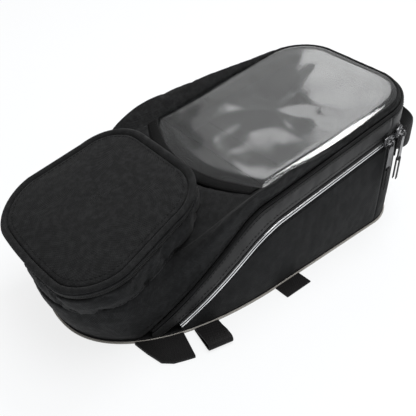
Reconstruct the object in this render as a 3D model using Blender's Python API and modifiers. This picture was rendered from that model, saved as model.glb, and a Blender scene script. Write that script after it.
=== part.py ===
"""Motorcycle tank bag: stiff base, zipped lid with a clear window, and a zipped pocket on the lid.

Metres, +Z up, +X towards the high end of the bag, origin on the floor under the middle of the base.
"""
import math

import bmesh
import bpy
from mathutils import Matrix, Vector

# Plan outline of the bag
WIDEST_X = -0.019
LOW_REACH = 0.157
HIGH_REACH = 0.195
HALF_WIDTH = 0.086
HIGH_HALF_WIDTH = 0.0805
CORNER_RADIUS = 0.048
LOW_POWER = 2.3

# Heights of the seam lines, taken at WIDEST_X, and their slopes
TOP_SLOPE = 0.15
ZIP_HEIGHT = 0.077
ZIP_RAMP_HEIGHT = 0.0805
ZIP_RAMP_SLOPE = 0.78
SEAM_HEIGHT = 0.101
SEAM_RAMP_HEIGHT = 0.117
SEAM_RAMP_SLOPE = 0.98
CROWN_HEIGHT = 0.106
CROWN_RAMP_HEIGHT = 0.113
CROWN_RAMP_SLOPE = 0.449
SEAM_BLEND = 0.012
CROWN_BLEND = 0.006

# Padded swell of the lid's edge, placed by distance from WIDEST_X
SHOULDER_PUFF = 0.014
SHOULDER_SPREAD = 0.45
SHOULDER_LOW = -0.070
SHOULDER_FULL = -0.040
SHOULDER_HIGH = 0.090
SHOULDER_EASE = 0.005
NOSE_PUFF = 0.011
NOSE_START = 0.100
NOSE_FULL = 0.140

# Walls and clearances
GAP = 0.0003
BASE_THICK = 0.003
BOARD_THICK = 0.002
BOARD_CLEARANCE = 0.001
WALL_THICK = 0.0025
WALL_INSET = 0.001
SEAM_INSET = 0.0042
CROWN_INSET = 0.014
BINDING_RADIUS = 0.0013
PIPING_RADIUS = 0.0016
ZIP_HALF_HEIGHT = 0.0022
ZIP_THICK = 0.0014
STRIP_END = 0.002

# Clear window in the lid and the sleeve behind it
FILM_THICK = 0.0008
FILM_DROP = 0.0006
WINDOW_LOW_X = -0.042
WINDOW_BOW = 0.022
TRIM_WIDTH = 0.010
TRIM_THICK = 0.002
HORN_MARGIN = 0.002
SLEEVE_DEPTH = 0.014
SLEEVE_WALL = 0.0015
SLEEVE_INSET = 0.018
SLEEVE_LOW_X = -0.015
SLOT_LENGTH = 0.034
SLOT_HALF_WIDTH = 0.046
SLOT_LOW_X = 0.006
FLAP_MARGIN = 0.009
FLAP_THICK = 0.0015
STRIP_WIDTH = 0.006
STRIP_THICK = 0.0008

# Pocket on the low end of the lid
POCKET_TOP_LOW_X = -0.191
POCKET_TOP_HIGH_X = -0.064
POCKET_TOP_LOW_HALF = HALF_WIDTH - 0.010
POCKET_TOP_HIGH_HALF = HALF_WIDTH - 0.019
POCKET_TOP_RADIUS = 0.038
POCKET_FOOT_LOW_X = -0.167
POCKET_FOOT_HIGH_X = -0.056
POCKET_FOOT_LOW_HALF = HALF_WIDTH - 0.017
POCKET_FOOT_HIGH_HALF = HALF_WIDTH - 0.023
POCKET_FOOT_RADIUS = 0.032
POCKET_LOW_TOP = 0.082
POCKET_TOP_SLOPE = 0.354
POCKET_ZIP_LEVEL = 0.74
POCKET_RIM_WIDTH = 0.008
POCKET_CROWN = 0.004

# Zip sliders and pulls
SLIDER_LENGTH = 0.010
SLIDER_HEIGHT = 0.009
SLIDER_THICK = 0.0035
SLIDER_STANDOFF = 0.0006
BRIDGE_LENGTH = 0.0075
BRIDGE_RISE = 0.0033
BRIDGE_RADIUS = 0.0008
EYE_RADIUS = 0.0026
EYE_WIRE = 0.0007
EYE_PLAY = 0.0004
PULL_WIDTH = 0.0075
PULL_LENGTH = 0.027
PULL_THICK = 0.0016
RIBBON_WIDTH = 0.005
RIBBON_LENGTH = 0.024
RIBBON_THICK = 0.0008
NEAR_SLIDER_X = WIDEST_X + HIGH_REACH - CORNER_RADIUS - 0.003
END_SLIDER_TURN = math.radians(15.0)
POCKET_SLIDER_X = -0.098

# Webbing
WEBBING_THICK = 0.0016
HANDLE_WIDTH = 0.025
HANDLE_LOW_Z = 0.066
HANDLE_REACH = 0.029
HANDLE_TURN = math.radians(44.0)
PATCH_LENGTH = 0.0105
PATCH_CLEARANCE = 0.000782
LOOP_WIDTH = 0.022
LOOP_REACH = 0.027
LOOP_HEIGHT = 0.0074
LOOP_X = -0.085
STRAP_THICK = 0.003
STRAP_REACH = 0.026
STRAP_LOW_X = -0.142
STRAP_HIGH_X = -0.105
TAG_X = 0.005
TAG_LENGTH = 0.030
TAG_REACH = 0.015
TAG_THICK = 0.0016

# Faceting
END_STEPS = 2
CORNER_STEPS = 8
SIDE_STEPS = 7
LOW_STEPS = 13
ARCH_STEPS = 5
TUBE_SIDES = 8
CORNER_COLUMN = END_STEPS + CORNER_STEPS

parts = None
cutters = None


def smooth_min(first, second, blend):
    """The lower of two lines, rounded where they cross."""
    share = min(1.0, max(0.0, 0.5 + 0.5 * (second - first) / blend))
    return second * (1.0 - share) + first * share - blend * share * (1.0 - share)


def line_height(x, level, ramp_level, ramp_slope, blend):
    """Height of a seam line that runs level over the body and ramps down at the low end."""
    along = x - WIDEST_X
    return smooth_min(level + TOP_SLOPE * along, ramp_level + ramp_slope * along, blend)


def zip_height(x):
    return line_height(x, ZIP_HEIGHT, ZIP_RAMP_HEIGHT, ZIP_RAMP_SLOPE, SEAM_BLEND)


def seam_height(x):
    return line_height(x, SEAM_HEIGHT, SEAM_RAMP_HEIGHT, SEAM_RAMP_SLOPE, SEAM_BLEND)


def crown_height(x):
    return line_height(x, CROWN_HEIGHT, CROWN_RAMP_HEIGHT, CROWN_RAMP_SLOPE, CROWN_BLEND)


def corner_centre():
    """Centre of the high corner's arc on the left side, and the side's taper angle."""
    x = WIDEST_X + HIGH_REACH - CORNER_RADIUS
    taper = math.atan2(HALF_WIDTH - HIGH_HALF_WIDTH, x - WIDEST_X)
    y = HIGH_HALF_WIDTH - CORNER_RADIUS
    return Vector((x, y)), taper


def half_outline(inset):
    """Left half of the plan outline, from the middle of the high end to the tip of the low end."""
    centre, taper = corner_centre()
    radius = CORNER_RADIUS - inset
    points = [Vector((centre.x + radius, centre.y * step / END_STEPS)) for step in range(END_STEPS)]
    sweep = math.pi / 2.0 - taper
    for step in range(CORNER_STEPS + 1):
        turn = sweep * step / CORNER_STEPS
        points.append(centre + radius * Vector((math.cos(turn), math.sin(turn))))
    start = points[-1]
    widest = Vector((WIDEST_X, HALF_WIDTH - inset))
    points += [start.lerp(widest, step / SIDE_STEPS) for step in range(1, SIDE_STEPS + 1)]
    for step in range(1, LOW_STEPS + 1):
        turn = math.pi / 2.0 * step / LOW_STEPS
        along = (LOW_REACH - inset) * math.sin(turn) ** (2.0 / LOW_POWER)
        across = (HALF_WIDTH - inset) * max(0.0, math.cos(turn)) ** (2.0 / LOW_POWER)
        points.append(Vector((WIDEST_X - along, across if step < LOW_STEPS else 0.0)))
    return points


def outline(inset):
    """Whole plan outline, anticlockwise from the middle of the high end."""
    left = half_outline(inset)
    return left + [Vector((point.x, -point.y)) for point in reversed(left[1:-1])]


def low_edge_x(y, inset):
    """X of the outline's low end at a distance from the middle line."""
    share = min(1.0, abs(y) / (HALF_WIDTH - inset))
    return WIDEST_X - (LOW_REACH - inset) * (1.0 - share ** LOW_POWER) ** (1.0 / LOW_POWER)


def window_low_x(y):
    """X of the window's bowed low edge."""
    return WINDOW_LOW_X + WINDOW_BOW * (y / (HALF_WIDTH - CROWN_INSET)) ** 2


def material(name, colour, roughness, metallic=0.0, alpha=1.0):
    made = bpy.data.materials.new(name)
    made.use_nodes = True
    shader = made.node_tree.nodes["Principled BSDF"]
    shader.inputs["Base Color"].default_value = (*colour, 1.0)
    shader.inputs["Roughness"].default_value = roughness
    shader.inputs["Metallic"].default_value = metallic
    shader.inputs["Alpha"].default_value = alpha
    return made


def add_object(name, mesh, finish, target=None):
    made = bpy.data.objects.new(name, mesh)
    (target or parts).objects.link(made)
    if finish:
        mesh.materials.append(finish)
    return made


def mesh_object(name, bm, finish, target=None):
    bm.normal_update()
    bmesh.ops.recalc_face_normals(bm, faces=bm.faces)
    mesh = bpy.data.meshes.new(name)
    bm.to_mesh(mesh)
    bm.free()
    mesh.shade_smooth()
    mesh.set_sharp_from_angle(angle=math.radians(35.0))
    return add_object(name, mesh, finish, target)


def loft(name, sections, finish, closed=False):
    """Solid through a row of sections, each a ring of points; the row is closed or capped."""
    bm = bmesh.new()
    rings = [[bm.verts.new(point) for point in section] for section in sections]
    pairs = list(zip(rings[:-1], rings[1:]))
    if closed:
        pairs.append((rings[-1], rings[0]))
    for first, second in pairs:
        count = len(first)
        for index in range(count):
            after = (index + 1) % count
            bm.faces.new((first[index], first[after], second[after], second[index]))
    if not closed:
        bm.faces.new(list(reversed(rings[0])))
        bm.faces.new(rings[-1])
    return mesh_object(name, bm, finish)


def plate(name, points, thickness, finish, place=None):
    """Flat plate from an outline in its own XY plane, its top face at z 0 of that plane."""
    curve = bpy.data.curves.new(name, "CURVE")
    curve.dimensions = "2D"
    curve.fill_mode = "BOTH"
    curve.extrude = thickness / 2.0
    spline = curve.splines.new("POLY")
    spline.points.add(len(points) - 1)
    for target, point in zip(spline.points, points):
        target.co = (point[0], point[1], 0.0, 1.0)
    spline.use_cyclic_u = True
    shape = bpy.data.objects.new(name + "_outline", curve)
    parts.objects.link(shape)
    bpy.context.view_layer.update()
    evaluated = shape.evaluated_get(bpy.context.evaluated_depsgraph_get())
    mesh = bpy.data.meshes.new_from_object(evaluated)
    mesh.name = name
    bpy.data.objects.remove(shape)
    bpy.data.curves.remove(curve)
    bm = bmesh.new()
    bm.from_mesh(mesh)
    bmesh.ops.remove_doubles(bm, verts=bm.verts, dist=0.00001)
    bmesh.ops.translate(bm, verts=bm.verts, vec=(0.0, 0.0, -thickness / 2.0))
    bm.transform(place or Matrix.Identity(4))
    bpy.data.meshes.remove(mesh)
    return mesh_object(name, bm, finish)


def set_origin(piece, point):
    """Move a piece's origin to a point on its joint axis and leave the piece where it is."""
    piece.data.transform(Matrix.Translation(-Vector(point)))
    piece.location = point
    return piece


def union(target, others):
    for other in others:
        joint = target.modifiers.new("join_" + other.name, "BOOLEAN")
        joint.operation = "UNION"
        joint.object = other
        hide_cutter(other)
    return target


def cut(target, cutter):
    step = target.modifiers.new("cut_" + cutter.name, "BOOLEAN")
    step.operation = "DIFFERENCE"
    step.object = cutter
    hide_cutter(cutter)
    return target


def hide_cutter(piece):
    for owner in list(piece.users_collection):
        owner.objects.unlink(piece)
    cutters.objects.link(piece)
    piece.hide_render = True
    piece.display_type = "WIRE"


def film_plane():
    """Frame of the window's film: X up the slope, Z out of the lid, origin over WIDEST_X."""
    level = CROWN_HEIGHT - FILM_DROP
    return Matrix.Translation((WIDEST_X, 0.0, level)) @ Matrix.Rotation(-math.atan(TOP_SLOPE), 4, "Y")


def on_film(points):
    """Plan points turned into the film plane's own coordinates."""
    stretch = math.sqrt(1.0 + TOP_SLOPE ** 2)
    return [Vector(((point.x - WIDEST_X) * stretch, point.y)) for point in points]


def column_at(ring, position):
    """Point of an outline at a column position, which may lie between two columns."""
    before = math.floor(position)
    count = len(ring)
    return ring[before % count].lerp(ring[(before + 1) % count], position - before)


def column_of_x(x):
    """Column position on the left side where the base outline has a given x."""
    half = half_outline(0.0)
    for index in range(CORNER_COLUMN, len(half) - 1):
        if half[index].x >= x >= half[index + 1].x:
            return index + (half[index].x - x) / (half[index].x - half[index + 1].x)
    return float(CORNER_COLUMN)


def side_columns(low_x, side):
    """Column positions of one straight side, from low_x to where the high corner starts."""
    last = column_of_x(low_x)
    whole = [float(index) for index in range(CORNER_COLUMN, math.ceil(last))]
    return [side * position for position in reversed(whole + [last])]


def end_columns():
    """Column positions round the high end, a sewing gap short of the two sides."""
    step = CORNER_RADIUS * math.pi / 2.0 / CORNER_STEPS
    last = CORNER_COLUMN - GAP / step
    return [-last] + [float(index) for index in range(1 - CORNER_COLUMN, CORNER_COLUMN)] + [last]


def round_columns(low_x):
    """Column positions from the right low corner, round the high end, to the left low corner."""
    corner = [float(index) for index in range(1 - CORNER_COLUMN, CORNER_COLUMN)]
    return side_columns(low_x, -1) + corner + list(reversed(side_columns(low_x, 1)))


def strip_sections(columns, inset, thickness, bottom, top):
    """Sections of an upright fabric strip along outline columns, between two heights taken at the wall's face."""
    outer = outline(inset)
    inner = outline(inset + thickness)
    wall = outline(WALL_INSET)
    sections = []
    for position in columns:
        face = column_at(outer, position)
        back = column_at(inner, position)
        wall_x = column_at(wall, position).x
        low = bottom(wall_x)
        high = top(wall_x)
        sections.append([(*face, low), (*face, high), (*back, high), (*back, low)])
    return sections


def tube_sections(path, radius, sides):
    """Round sections along a path of points, square to the path."""
    sections = []
    for index, point in enumerate(path):
        before = path[max(0, index - 1)]
        after = path[min(len(path) - 1, index + 1)]
        along = (after - before).normalized()
        side = along.cross(Vector((0.0, 0.0, 1.0))).normalized()
        up = side.cross(along)
        ring = []
        for step in range(sides):
            turn = 2.0 * math.pi * step / sides
            ring.append(point + radius * (math.cos(turn) * side + math.sin(turn) * up))
        sections.append(ring)
    return sections


def ribbon_sections(path, normals, across, width, thickness):
    """Flat webbing sections along a path; across is the direction of its width."""
    half = across.normalized() * (width / 2.0)
    sections = []
    for point, normal in zip(path, normals):
        lift = normal * (thickness / 2.0)
        sections.append([point - half - lift, point + half - lift, point + half + lift, point - half + lift])
    return sections


def build_base(finish):
    bottom = Matrix.Translation((0.0, 0.0, BASE_THICK))
    plate("base_panel", outline(0.0), BASE_THICK, finish["grip"], bottom)
    raised = Matrix.Translation((0.0, 0.0, BASE_THICK + GAP + BOARD_THICK))
    plate("base_board", outline(SEAM_INSET + WALL_THICK + BOARD_CLEARANCE), BOARD_THICK, finish["board"], raised)


def panel_low_x():
    """Where the side panel and its piping run out on the base."""
    drop = ZIP_RAMP_HEIGHT - ZIP_HALF_HEIGHT - piping_depth() - BASE_THICK - GAP - STRIP_END
    return WIDEST_X - drop / ZIP_RAMP_SLOPE


def band_low_x():
    """Where the lid's band runs out on the base."""
    drop = SEAM_RAMP_HEIGHT - 2.0 * BINDING_RADIUS - 3.0 * GAP - BASE_THICK - GAP - STRIP_END
    return WIDEST_X - drop / SEAM_RAMP_SLOPE


def build_side_panels(finish):
    seat = BASE_THICK + GAP

    def bottom(_):
        return seat

    def top(x):
        return max(seat + STRIP_END, zip_height(x) - ZIP_HALF_HEIGHT - piping_depth())

    for side, word in ((-1, "right"), (1, "left")):
        sections = strip_sections(side_columns(panel_low_x(), side), WALL_INSET, WALL_THICK, bottom, top)
        loft("side_panel_" + word, sections, finish["fabric"])
    loft("end_panel", strip_sections(end_columns(), WALL_INSET, WALL_THICK, bottom, top), finish["fabric"])


def piping_depth():
    """Height that the piping and its clearances take, where the zip line is steepest."""
    return 2.0 * (PIPING_RADIUS + GAP) * math.hypot(1.0, ZIP_RAMP_SLOPE)


def build_piping(finish):
    ring = outline(WALL_INSET + WALL_THICK / 2.0)
    wall = outline(WALL_INSET)
    path = []
    for position in round_columns(panel_low_x()):
        spot = column_at(ring, position)
        level = zip_height(column_at(wall, position).x) - ZIP_HALF_HEIGHT - piping_depth() / 2.0
        path.append(Vector((*spot, level)))
    loft("reflective_piping", tube_sections(path, PIPING_RADIUS, TUBE_SIDES), finish["silver"])


def build_main_zip(finish):
    def lower_bottom(x):
        return zip_height(x) - ZIP_HALF_HEIGHT

    def middle(x):
        return zip_height(x) - GAP / 2.0

    def upper_bottom(x):
        return zip_height(x) + GAP / 2.0

    def upper_top(x):
        return zip_height(x) + ZIP_HALF_HEIGHT

    columns = round_columns(panel_low_x())
    inset = WALL_INSET + (WALL_THICK - ZIP_THICK) / 2.0
    lower = strip_sections(columns, inset, ZIP_THICK, lower_bottom, middle)
    upper = strip_sections(columns, inset, ZIP_THICK, upper_bottom, upper_top)
    loft("main_zip_lower", lower, finish["zip"])
    loft("main_zip_upper", upper, finish["zip"])


def build_lid_band(finish):
    seat = BASE_THICK + GAP

    def bottom(x):
        return max(seat, zip_height(x) + ZIP_HALF_HEIGHT + GAP)

    def top(x):
        return max(bottom(x) + STRIP_END, seam_height(x) - 2.0 * BINDING_RADIUS - 3.0 * GAP)

    for side, word in ((-1, "right"), (1, "left")):
        sections = strip_sections(side_columns(band_low_x(), side), WALL_INSET, WALL_THICK, bottom, top)
        loft("lid_band_" + word, sections, finish["satin"])
    loft("lid_band_end", strip_sections(end_columns(), WALL_INSET, WALL_THICK, bottom, top), finish["satin"])
    ring = outline(SEAM_INSET - BINDING_RADIUS - 2.0 * GAP)
    path = []
    for position in round_columns(band_low_x()):
        spot = column_at(ring, position)
        path.append(Vector((*spot, max(seat + BINDING_RADIUS, seam_height(spot.x) - BINDING_RADIUS))))
    loft("seam_binding", tube_sections(path, BINDING_RADIUS, TUBE_SIDES), finish["binding"])


def fade(value, start, end):
    """Smooth step from 0 at start to 1 at end."""
    share = min(1.0, max(0.0, (value - start) / (end - start)))
    return share * share * (3.0 - 2.0 * share)


def shoulder_puff(x):
    """How far the padded shoulder swells beside the window's low end."""
    along = x - WIDEST_X
    return SHOULDER_PUFF * fade(along, SHOULDER_LOW, SHOULDER_FULL) * fade(along, SHOULDER_HIGH, SHOULDER_EASE)


def nose_puff(x):
    """How far the low end's nose swells beyond the base."""
    return NOSE_PUFF * fade(WIDEST_X - x, NOSE_START, NOSE_FULL)


def build_lid_rim(finish):
    """Padded edge of the lid: from the seam up and over to the crown, all the way round."""
    total = len(outline(0.0))
    crown = outline(CROWN_INSET)
    start = outline(SEAM_INSET)
    sections = []
    for index in range(total):
        low = max(BASE_THICK + GAP, seam_height(start[index].x))
        rise = crown_height(crown[index].x) - low
        across = (crown[index] - start[index]).normalized()
        span = (crown[index] - start[index]).length
        lift = shoulder_puff(start[index].x)
        push = lift * SHOULDER_SPREAD + nose_puff(start[index].x)
        outer = []
        inner = []
        for step in range(ARCH_STEPS + 1):
            turn = math.pi / 2.0 * step / ARCH_STEPS
            swell = math.sin(2.0 * turn)
            spot = start[index] + across * (span * (1.0 - math.cos(turn)) - push * swell)
            level = low + rise * math.sin(turn) + lift * swell
            if spot.x < POCKET_FOOT_HIGH_X and abs(spot.y) < POCKET_TOP_LOW_HALF:
                level = min(level, pocket_foot_height(spot.x) - 2.0 * GAP)
            outer.append((*spot, level))
            back = spot + across * (WALL_THICK * math.cos(turn))
            inner.append((*back, level - WALL_THICK * math.sin(turn)))
        sections.append(outer + list(reversed(inner)))
    loft("lid_rim", sections, finish["fabric"], closed=True)


def build_lid_panel(finish):
    """Sloping panel under the pocket, between the rolled edge and the window's trim."""
    across_steps = 14
    along_steps = 7
    limit = HALF_WIDTH - CROWN_INSET - HORN_MARGIN
    bm = bmesh.new()
    rows = []
    for step in range(across_steps + 1):
        y = limit * (2.0 * step / across_steps - 1.0)
        low = low_edge_x(y, CROWN_INSET + GAP)
        high = window_low_x(y) - TRIM_WIDTH - WALL_THICK * CROWN_RAMP_SLOPE - GAP
        row = []
        for part in range(along_steps + 1):
            x = low + (high - low) * part / along_steps
            row.append(bm.verts.new((x, y, crown_height(x))))
        rows.append(row)
    for first, second in zip(rows[:-1], rows[1:]):
        for part in range(along_steps):
            bm.faces.new((first[part], first[part + 1], second[part + 1], second[part]))
    piece = mesh_object("lid_panel", bm, finish["fabric"])
    if piece.data.polygons[0].normal.z < 0.0:
        piece.data.flip_normals()
    shell = piece.modifiers.new("thickness", "SOLIDIFY")
    shell.thickness = WALL_THICK
    shell.offset = -1.0


def window_outline(inset, low_x):
    """Plan outline of the window: rounded high end, and a low edge given by low_x(y)."""
    ring = half_outline(inset)
    limit_y = ring[END_STEPS + CORNER_STEPS].y
    left = [point for point in ring if point.x > low_x(limit_y) + 0.004]
    edge_y = left[-1].y
    steps = 8
    low = [Vector((low_x(edge_y * part / steps), edge_y * part / steps)) for part in range(-steps, steps + 1)]
    right = [Vector((point.x, -point.y)) for point in reversed(left[1:])]
    return left + list(reversed(low)) + right


def build_window(finish):
    film = window_outline(CROWN_INSET + GAP, lambda y: window_low_x(y) + GAP)
    plate("window_film", on_film(film), FILM_THICK, finish["clear"], film_plane())
    reach = HALF_WIDTH - CROWN_INSET - HORN_MARGIN
    sections = []
    steps = 14
    for part in range(steps + 1):
        y = reach * (2.0 * part / steps - 1.0)
        high = window_low_x(y)
        low = high - TRIM_WIDTH
        sections.append([
            (low, y, crown_height(low)), (high, y, crown_height(high)),
            (high, y, crown_height(high) - TRIM_THICK), (low, y, crown_height(low) - TRIM_THICK)])
    loft("window_trim", sections, finish["fabric"])


def build_sleeve(finish):
    """Sleeve behind the window: a shallow tray with a slot that a flap closes from inside the bag."""
    under = film_plane() @ Matrix.Translation((0.0, 0.0, -FILM_THICK - GAP))
    outer = on_film(window_outline(SLEEVE_INSET, lambda y: SLEEVE_LOW_X))
    inner = on_film(window_outline(SLEEVE_INSET + SLEEVE_WALL, lambda y: SLEEVE_LOW_X + SLEEVE_WALL))
    tray = plate("window_sleeve", outer, SLEEVE_DEPTH, finish["lining"], under)
    lifted = under @ Matrix.Translation((0.0, 0.0, SLEEVE_WALL))
    cut(tray, plate("sleeve_hollow", inner, SLEEVE_DEPTH, None, lifted))
    slot = rectangle(SLOT_LOW_X, SLOT_LOW_X + SLOT_LENGTH, SLOT_HALF_WIDTH)
    deep = under @ Matrix.Translation((0.0, 0.0, -SLEEVE_DEPTH / 2.0))
    cut(tray, plate("sleeve_slot", slot, SLEEVE_DEPTH, None, deep))
    below = under @ Matrix.Translation((0.0, 0.0, -SLEEVE_DEPTH - GAP))
    fixed = rectangle(SLOT_LOW_X - STRIP_WIDTH - GAP, SLOT_LOW_X - GAP, SLOT_HALF_WIDTH)
    plate("loop_strip", fixed, STRIP_THICK, finish["hook"], below)
    lower = below @ Matrix.Translation((0.0, 0.0, -STRIP_THICK - GAP))
    plate("hook_strip", fixed, STRIP_THICK, finish["hook"], lower)
    cover = lower @ Matrix.Translation((0.0, 0.0, -STRIP_THICK - GAP))
    span = rectangle(SLOT_LOW_X - FLAP_MARGIN, SLOT_LOW_X + SLOT_LENGTH + FLAP_MARGIN, SLOT_HALF_WIDTH + FLAP_MARGIN)
    flap = plate("sleeve_flap", span, FLAP_THICK, finish["lining"], cover)
    hinge = cover @ Vector((SLOT_LOW_X + SLOT_LENGTH + FLAP_MARGIN, 0.0, 0.0))
    set_origin(flap, hinge)
    welt = rectangle(SLOT_LOW_X + SLOT_LENGTH + FLAP_MARGIN - STRIP_WIDTH, SLOT_LOW_X + SLOT_LENGTH + FLAP_MARGIN,
                     SLOT_HALF_WIDTH + FLAP_MARGIN)
    plate("flap_hinge_tape", welt, 2.0 * STRIP_THICK + GAP, finish["lining"], below)
    print("sleeve flap hinge", [round(value, 5) for value in hinge])


def rectangle(low_x, high_x, half_width):
    return [Vector((low_x, -half_width)), Vector((high_x, -half_width)),
            Vector((high_x, half_width)), Vector((low_x, half_width))]


def rounded_trapezoid(low_x, high_x, low_half, high_half, radius, steps=6):
    """Rounded four-sided outline, anticlockwise from the left high corner."""
    corners = [(high_x, high_half, 1.0, 1.0), (low_x, low_half, -1.0, 1.0),
               (low_x, low_half, -1.0, -1.0), (high_x, high_half, 1.0, -1.0)]
    points = []
    for turn_index, (x, half, way_x, way_y) in enumerate(corners):
        centre = Vector((x - way_x * radius, way_y * (half - radius)))
        for step in range(steps + 1):
            turn = math.pi / 2.0 * (turn_index + step / steps)
            points.append(centre + radius * Vector((math.cos(turn), math.sin(turn))))
    return points


def pocket_ring(level, inset=0.0):
    """Plan outline of the pocket at a level from 0, its foot, to 1, its top."""
    def between(foot, top):
        return foot + (top - foot) * level
    return rounded_trapezoid(
        between(POCKET_FOOT_LOW_X, POCKET_TOP_LOW_X) + inset,
        between(POCKET_FOOT_HIGH_X, POCKET_TOP_HIGH_X) - inset,
        between(POCKET_FOOT_LOW_HALF, POCKET_TOP_LOW_HALF) - inset,
        between(POCKET_FOOT_HIGH_HALF, POCKET_TOP_HIGH_HALF) - inset,
        between(POCKET_FOOT_RADIUS, POCKET_TOP_RADIUS) - inset)


def pocket_top_height(x):
    return POCKET_LOW_TOP + POCKET_TOP_SLOPE * (x - POCKET_TOP_LOW_X)


def pocket_foot_height(x):
    along = x - WIDEST_X
    return CROWN_RAMP_HEIGHT + CROWN_RAMP_SLOPE * along + GAP


def pocket_height(foot_x, top_x, level):
    low = pocket_foot_height(foot_x)
    return low + (pocket_top_height(top_x) - low) * level


def pocket_point(index, level, inset, drop=0.0):
    """Point of the pocket's skin, set in from its face along the pocket's slope and lowered by drop."""
    face = pocket_ring(level)[index]
    spot = pocket_ring(level, inset)[index]
    shift = spot.x - face.x
    height = pocket_height(pocket_ring(0.0)[index].x + shift, pocket_ring(1.0)[index].x + shift, level)
    return (*spot, height - drop)


def pocket_wall_sections(start, end, inset, thickness):
    """Sections of the pocket's wall between two levels."""
    corners = ((start, inset), (end, inset), (end, inset + thickness), (start, inset + thickness))
    count = len(pocket_ring(0.0))
    return [[pocket_point(index, level, depth) for level, depth in corners] for index in range(count)]


def pocket_hinge():
    """Point on the pocket flap's hinge, at the zip level of the pocket's high side."""
    ring = pocket_ring(POCKET_ZIP_LEVEL)
    x = max(point.x for point in ring)
    height = pocket_height(POCKET_FOOT_HIGH_X, POCKET_TOP_HIGH_X, POCKET_ZIP_LEVEL)
    return Vector((x, 0.0, height))


def build_pocket(finish):
    rise = pocket_top_height(POCKET_TOP_LOW_X) - pocket_foot_height(POCKET_FOOT_LOW_X)
    gap = GAP / rise
    tape = ZIP_HALF_HEIGHT / rise
    zip_low = POCKET_ZIP_LEVEL - tape
    zip_high = POCKET_ZIP_LEVEL + tape
    wall = pocket_wall_sections(0.0, zip_low - 2.0 * gap, 0.0, WALL_THICK)
    loft("pocket_wall", wall, finish["fabric"], closed=True)
    inset = (WALL_THICK - ZIP_THICK) / 2.0
    lower = pocket_wall_sections(zip_low, POCKET_ZIP_LEVEL - gap, inset, ZIP_THICK)
    loft("pocket_zip_lower", lower, finish["zip"], closed=True)
    hinge = pocket_hinge()
    upper = pocket_wall_sections(POCKET_ZIP_LEVEL + gap, zip_high, inset, ZIP_THICK)
    set_origin(loft("pocket_zip_upper", upper, finish["zip"], closed=True), hinge)

    start = zip_high + 2.0 * gap
    sections = []
    for index in range(len(pocket_ring(0.0))):
        outer = []
        inner = []
        for step in range(ARCH_STEPS + 1):
            turn = math.pi / 2.0 * step / ARCH_STEPS
            level = start + (1.0 - start) * math.sin(turn)
            inset = POCKET_RIM_WIDTH * (1.0 - math.cos(turn))
            outer.append(pocket_point(index, level, inset))
            depth = inset + WALL_THICK * math.cos(turn)
            inner.append(pocket_point(index, level, depth, WALL_THICK * math.sin(turn)))
        sections.append(outer + list(reversed(inner)))
    set_origin(loft("pocket_rim", sections, finish["fabric"], closed=True), hinge)

    edge = pocket_ring(1.0, POCKET_RIM_WIDTH + WALL_THICK * POCKET_TOP_SLOPE + GAP)
    middle = Vector(((POCKET_TOP_LOW_X + POCKET_TOP_HIGH_X) / 2.0, 0.0))
    shares = (1.0, 0.75, 0.5, 0.25)
    bm = bmesh.new()
    rings = []
    for share in shares:
        lift = POCKET_CROWN * (1.0 - share ** 2)
        ring = []
        for point in edge:
            place = middle.lerp(point, share)
            ring.append(bm.verts.new((*place, pocket_top_height(place.x) + lift)))
        rings.append(ring)
    for first, second in zip(rings[:-1], rings[1:]):
        for index in range(len(first)):
            after = (index + 1) % len(first)
            bm.faces.new((first[index], first[after], second[after], second[index]))
    bm.faces.new(rings[-1])
    panel = mesh_object("pocket_top", bm, finish["fabric"])
    if panel.data.polygons[0].normal.z < 0.0:
        panel.data.flip_normals()
    shell = panel.modifiers.new("thickness", "SOLIDIFY")
    shell.thickness = WALL_THICK
    shell.offset = -1.0
    set_origin(panel, hinge)
    print("pocket hinge", [round(value, 5) for value in hinge])


def slider_frame(point, along, outward):
    """Frame with X along the zip, Y up the wall and Z out of it."""
    along = along.normalized()
    outward = (outward - outward.project(along)).normalized()
    up = outward.cross(along)
    turned = Matrix((along, up, outward)).transposed().to_4x4()
    return Matrix.Translation(point) @ turned


def block(name, size, place, finish, bevel=0.0, target=None):
    bm = bmesh.new()
    bmesh.ops.create_cube(bm, size=1.0)
    bmesh.ops.scale(bm, vec=size, verts=bm.verts)
    if bevel:
        bmesh.ops.bevel(bm, geom=bm.edges, offset=bevel, segments=2, profile=0.5, affect="EDGES")
    bm.transform(place)
    return mesh_object(name, bm, finish, target)


def make_slider(name, frame, finish):
    """Slider body with a bridge that the pull's eye hangs on; returns the bridge's middle."""
    body_middle = SLIDER_STANDOFF + SLIDER_THICK / 2.0
    place = frame @ Matrix.Translation((0.0, 0.0, body_middle))
    body = block(name, (SLIDER_LENGTH, SLIDER_HEIGHT, SLIDER_THICK), place, finish["metal"], 0.0008)
    surface = SLIDER_STANDOFF + SLIDER_THICK
    half = BRIDGE_LENGTH / 2.0
    sunk = surface - BRIDGE_RADIUS
    level = surface + BRIDGE_RISE
    corner = BRIDGE_RADIUS * 1.2
    route = [(-half, sunk), (-half, level - corner), (-half + corner, level), (half - corner, level),
             (half, level - corner), (half, sunk)]
    sections = []
    for index, (x, z) in enumerate(route):
        before = route[max(0, index - 1)]
        after = route[min(len(route) - 1, index + 1)]
        along = Vector((after[0] - before[0], 0.0, after[1] - before[1])).normalized()
        side = Vector((0.0, 1.0, 0.0))
        up = side.cross(along)
        ring = []
        for step in range(TUBE_SIDES):
            turn = 2.0 * math.pi * step / TUBE_SIDES
            spot = Vector((x, 0.0, z)) + BRIDGE_RADIUS * (math.cos(turn) * side + math.sin(turn) * up)
            ring.append(frame @ spot)
        sections.append(ring)
    bridge = loft(name + "_bridge", sections, None)
    union(body, [bridge])
    return frame @ Vector((0.0, 0.0, level))


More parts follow.
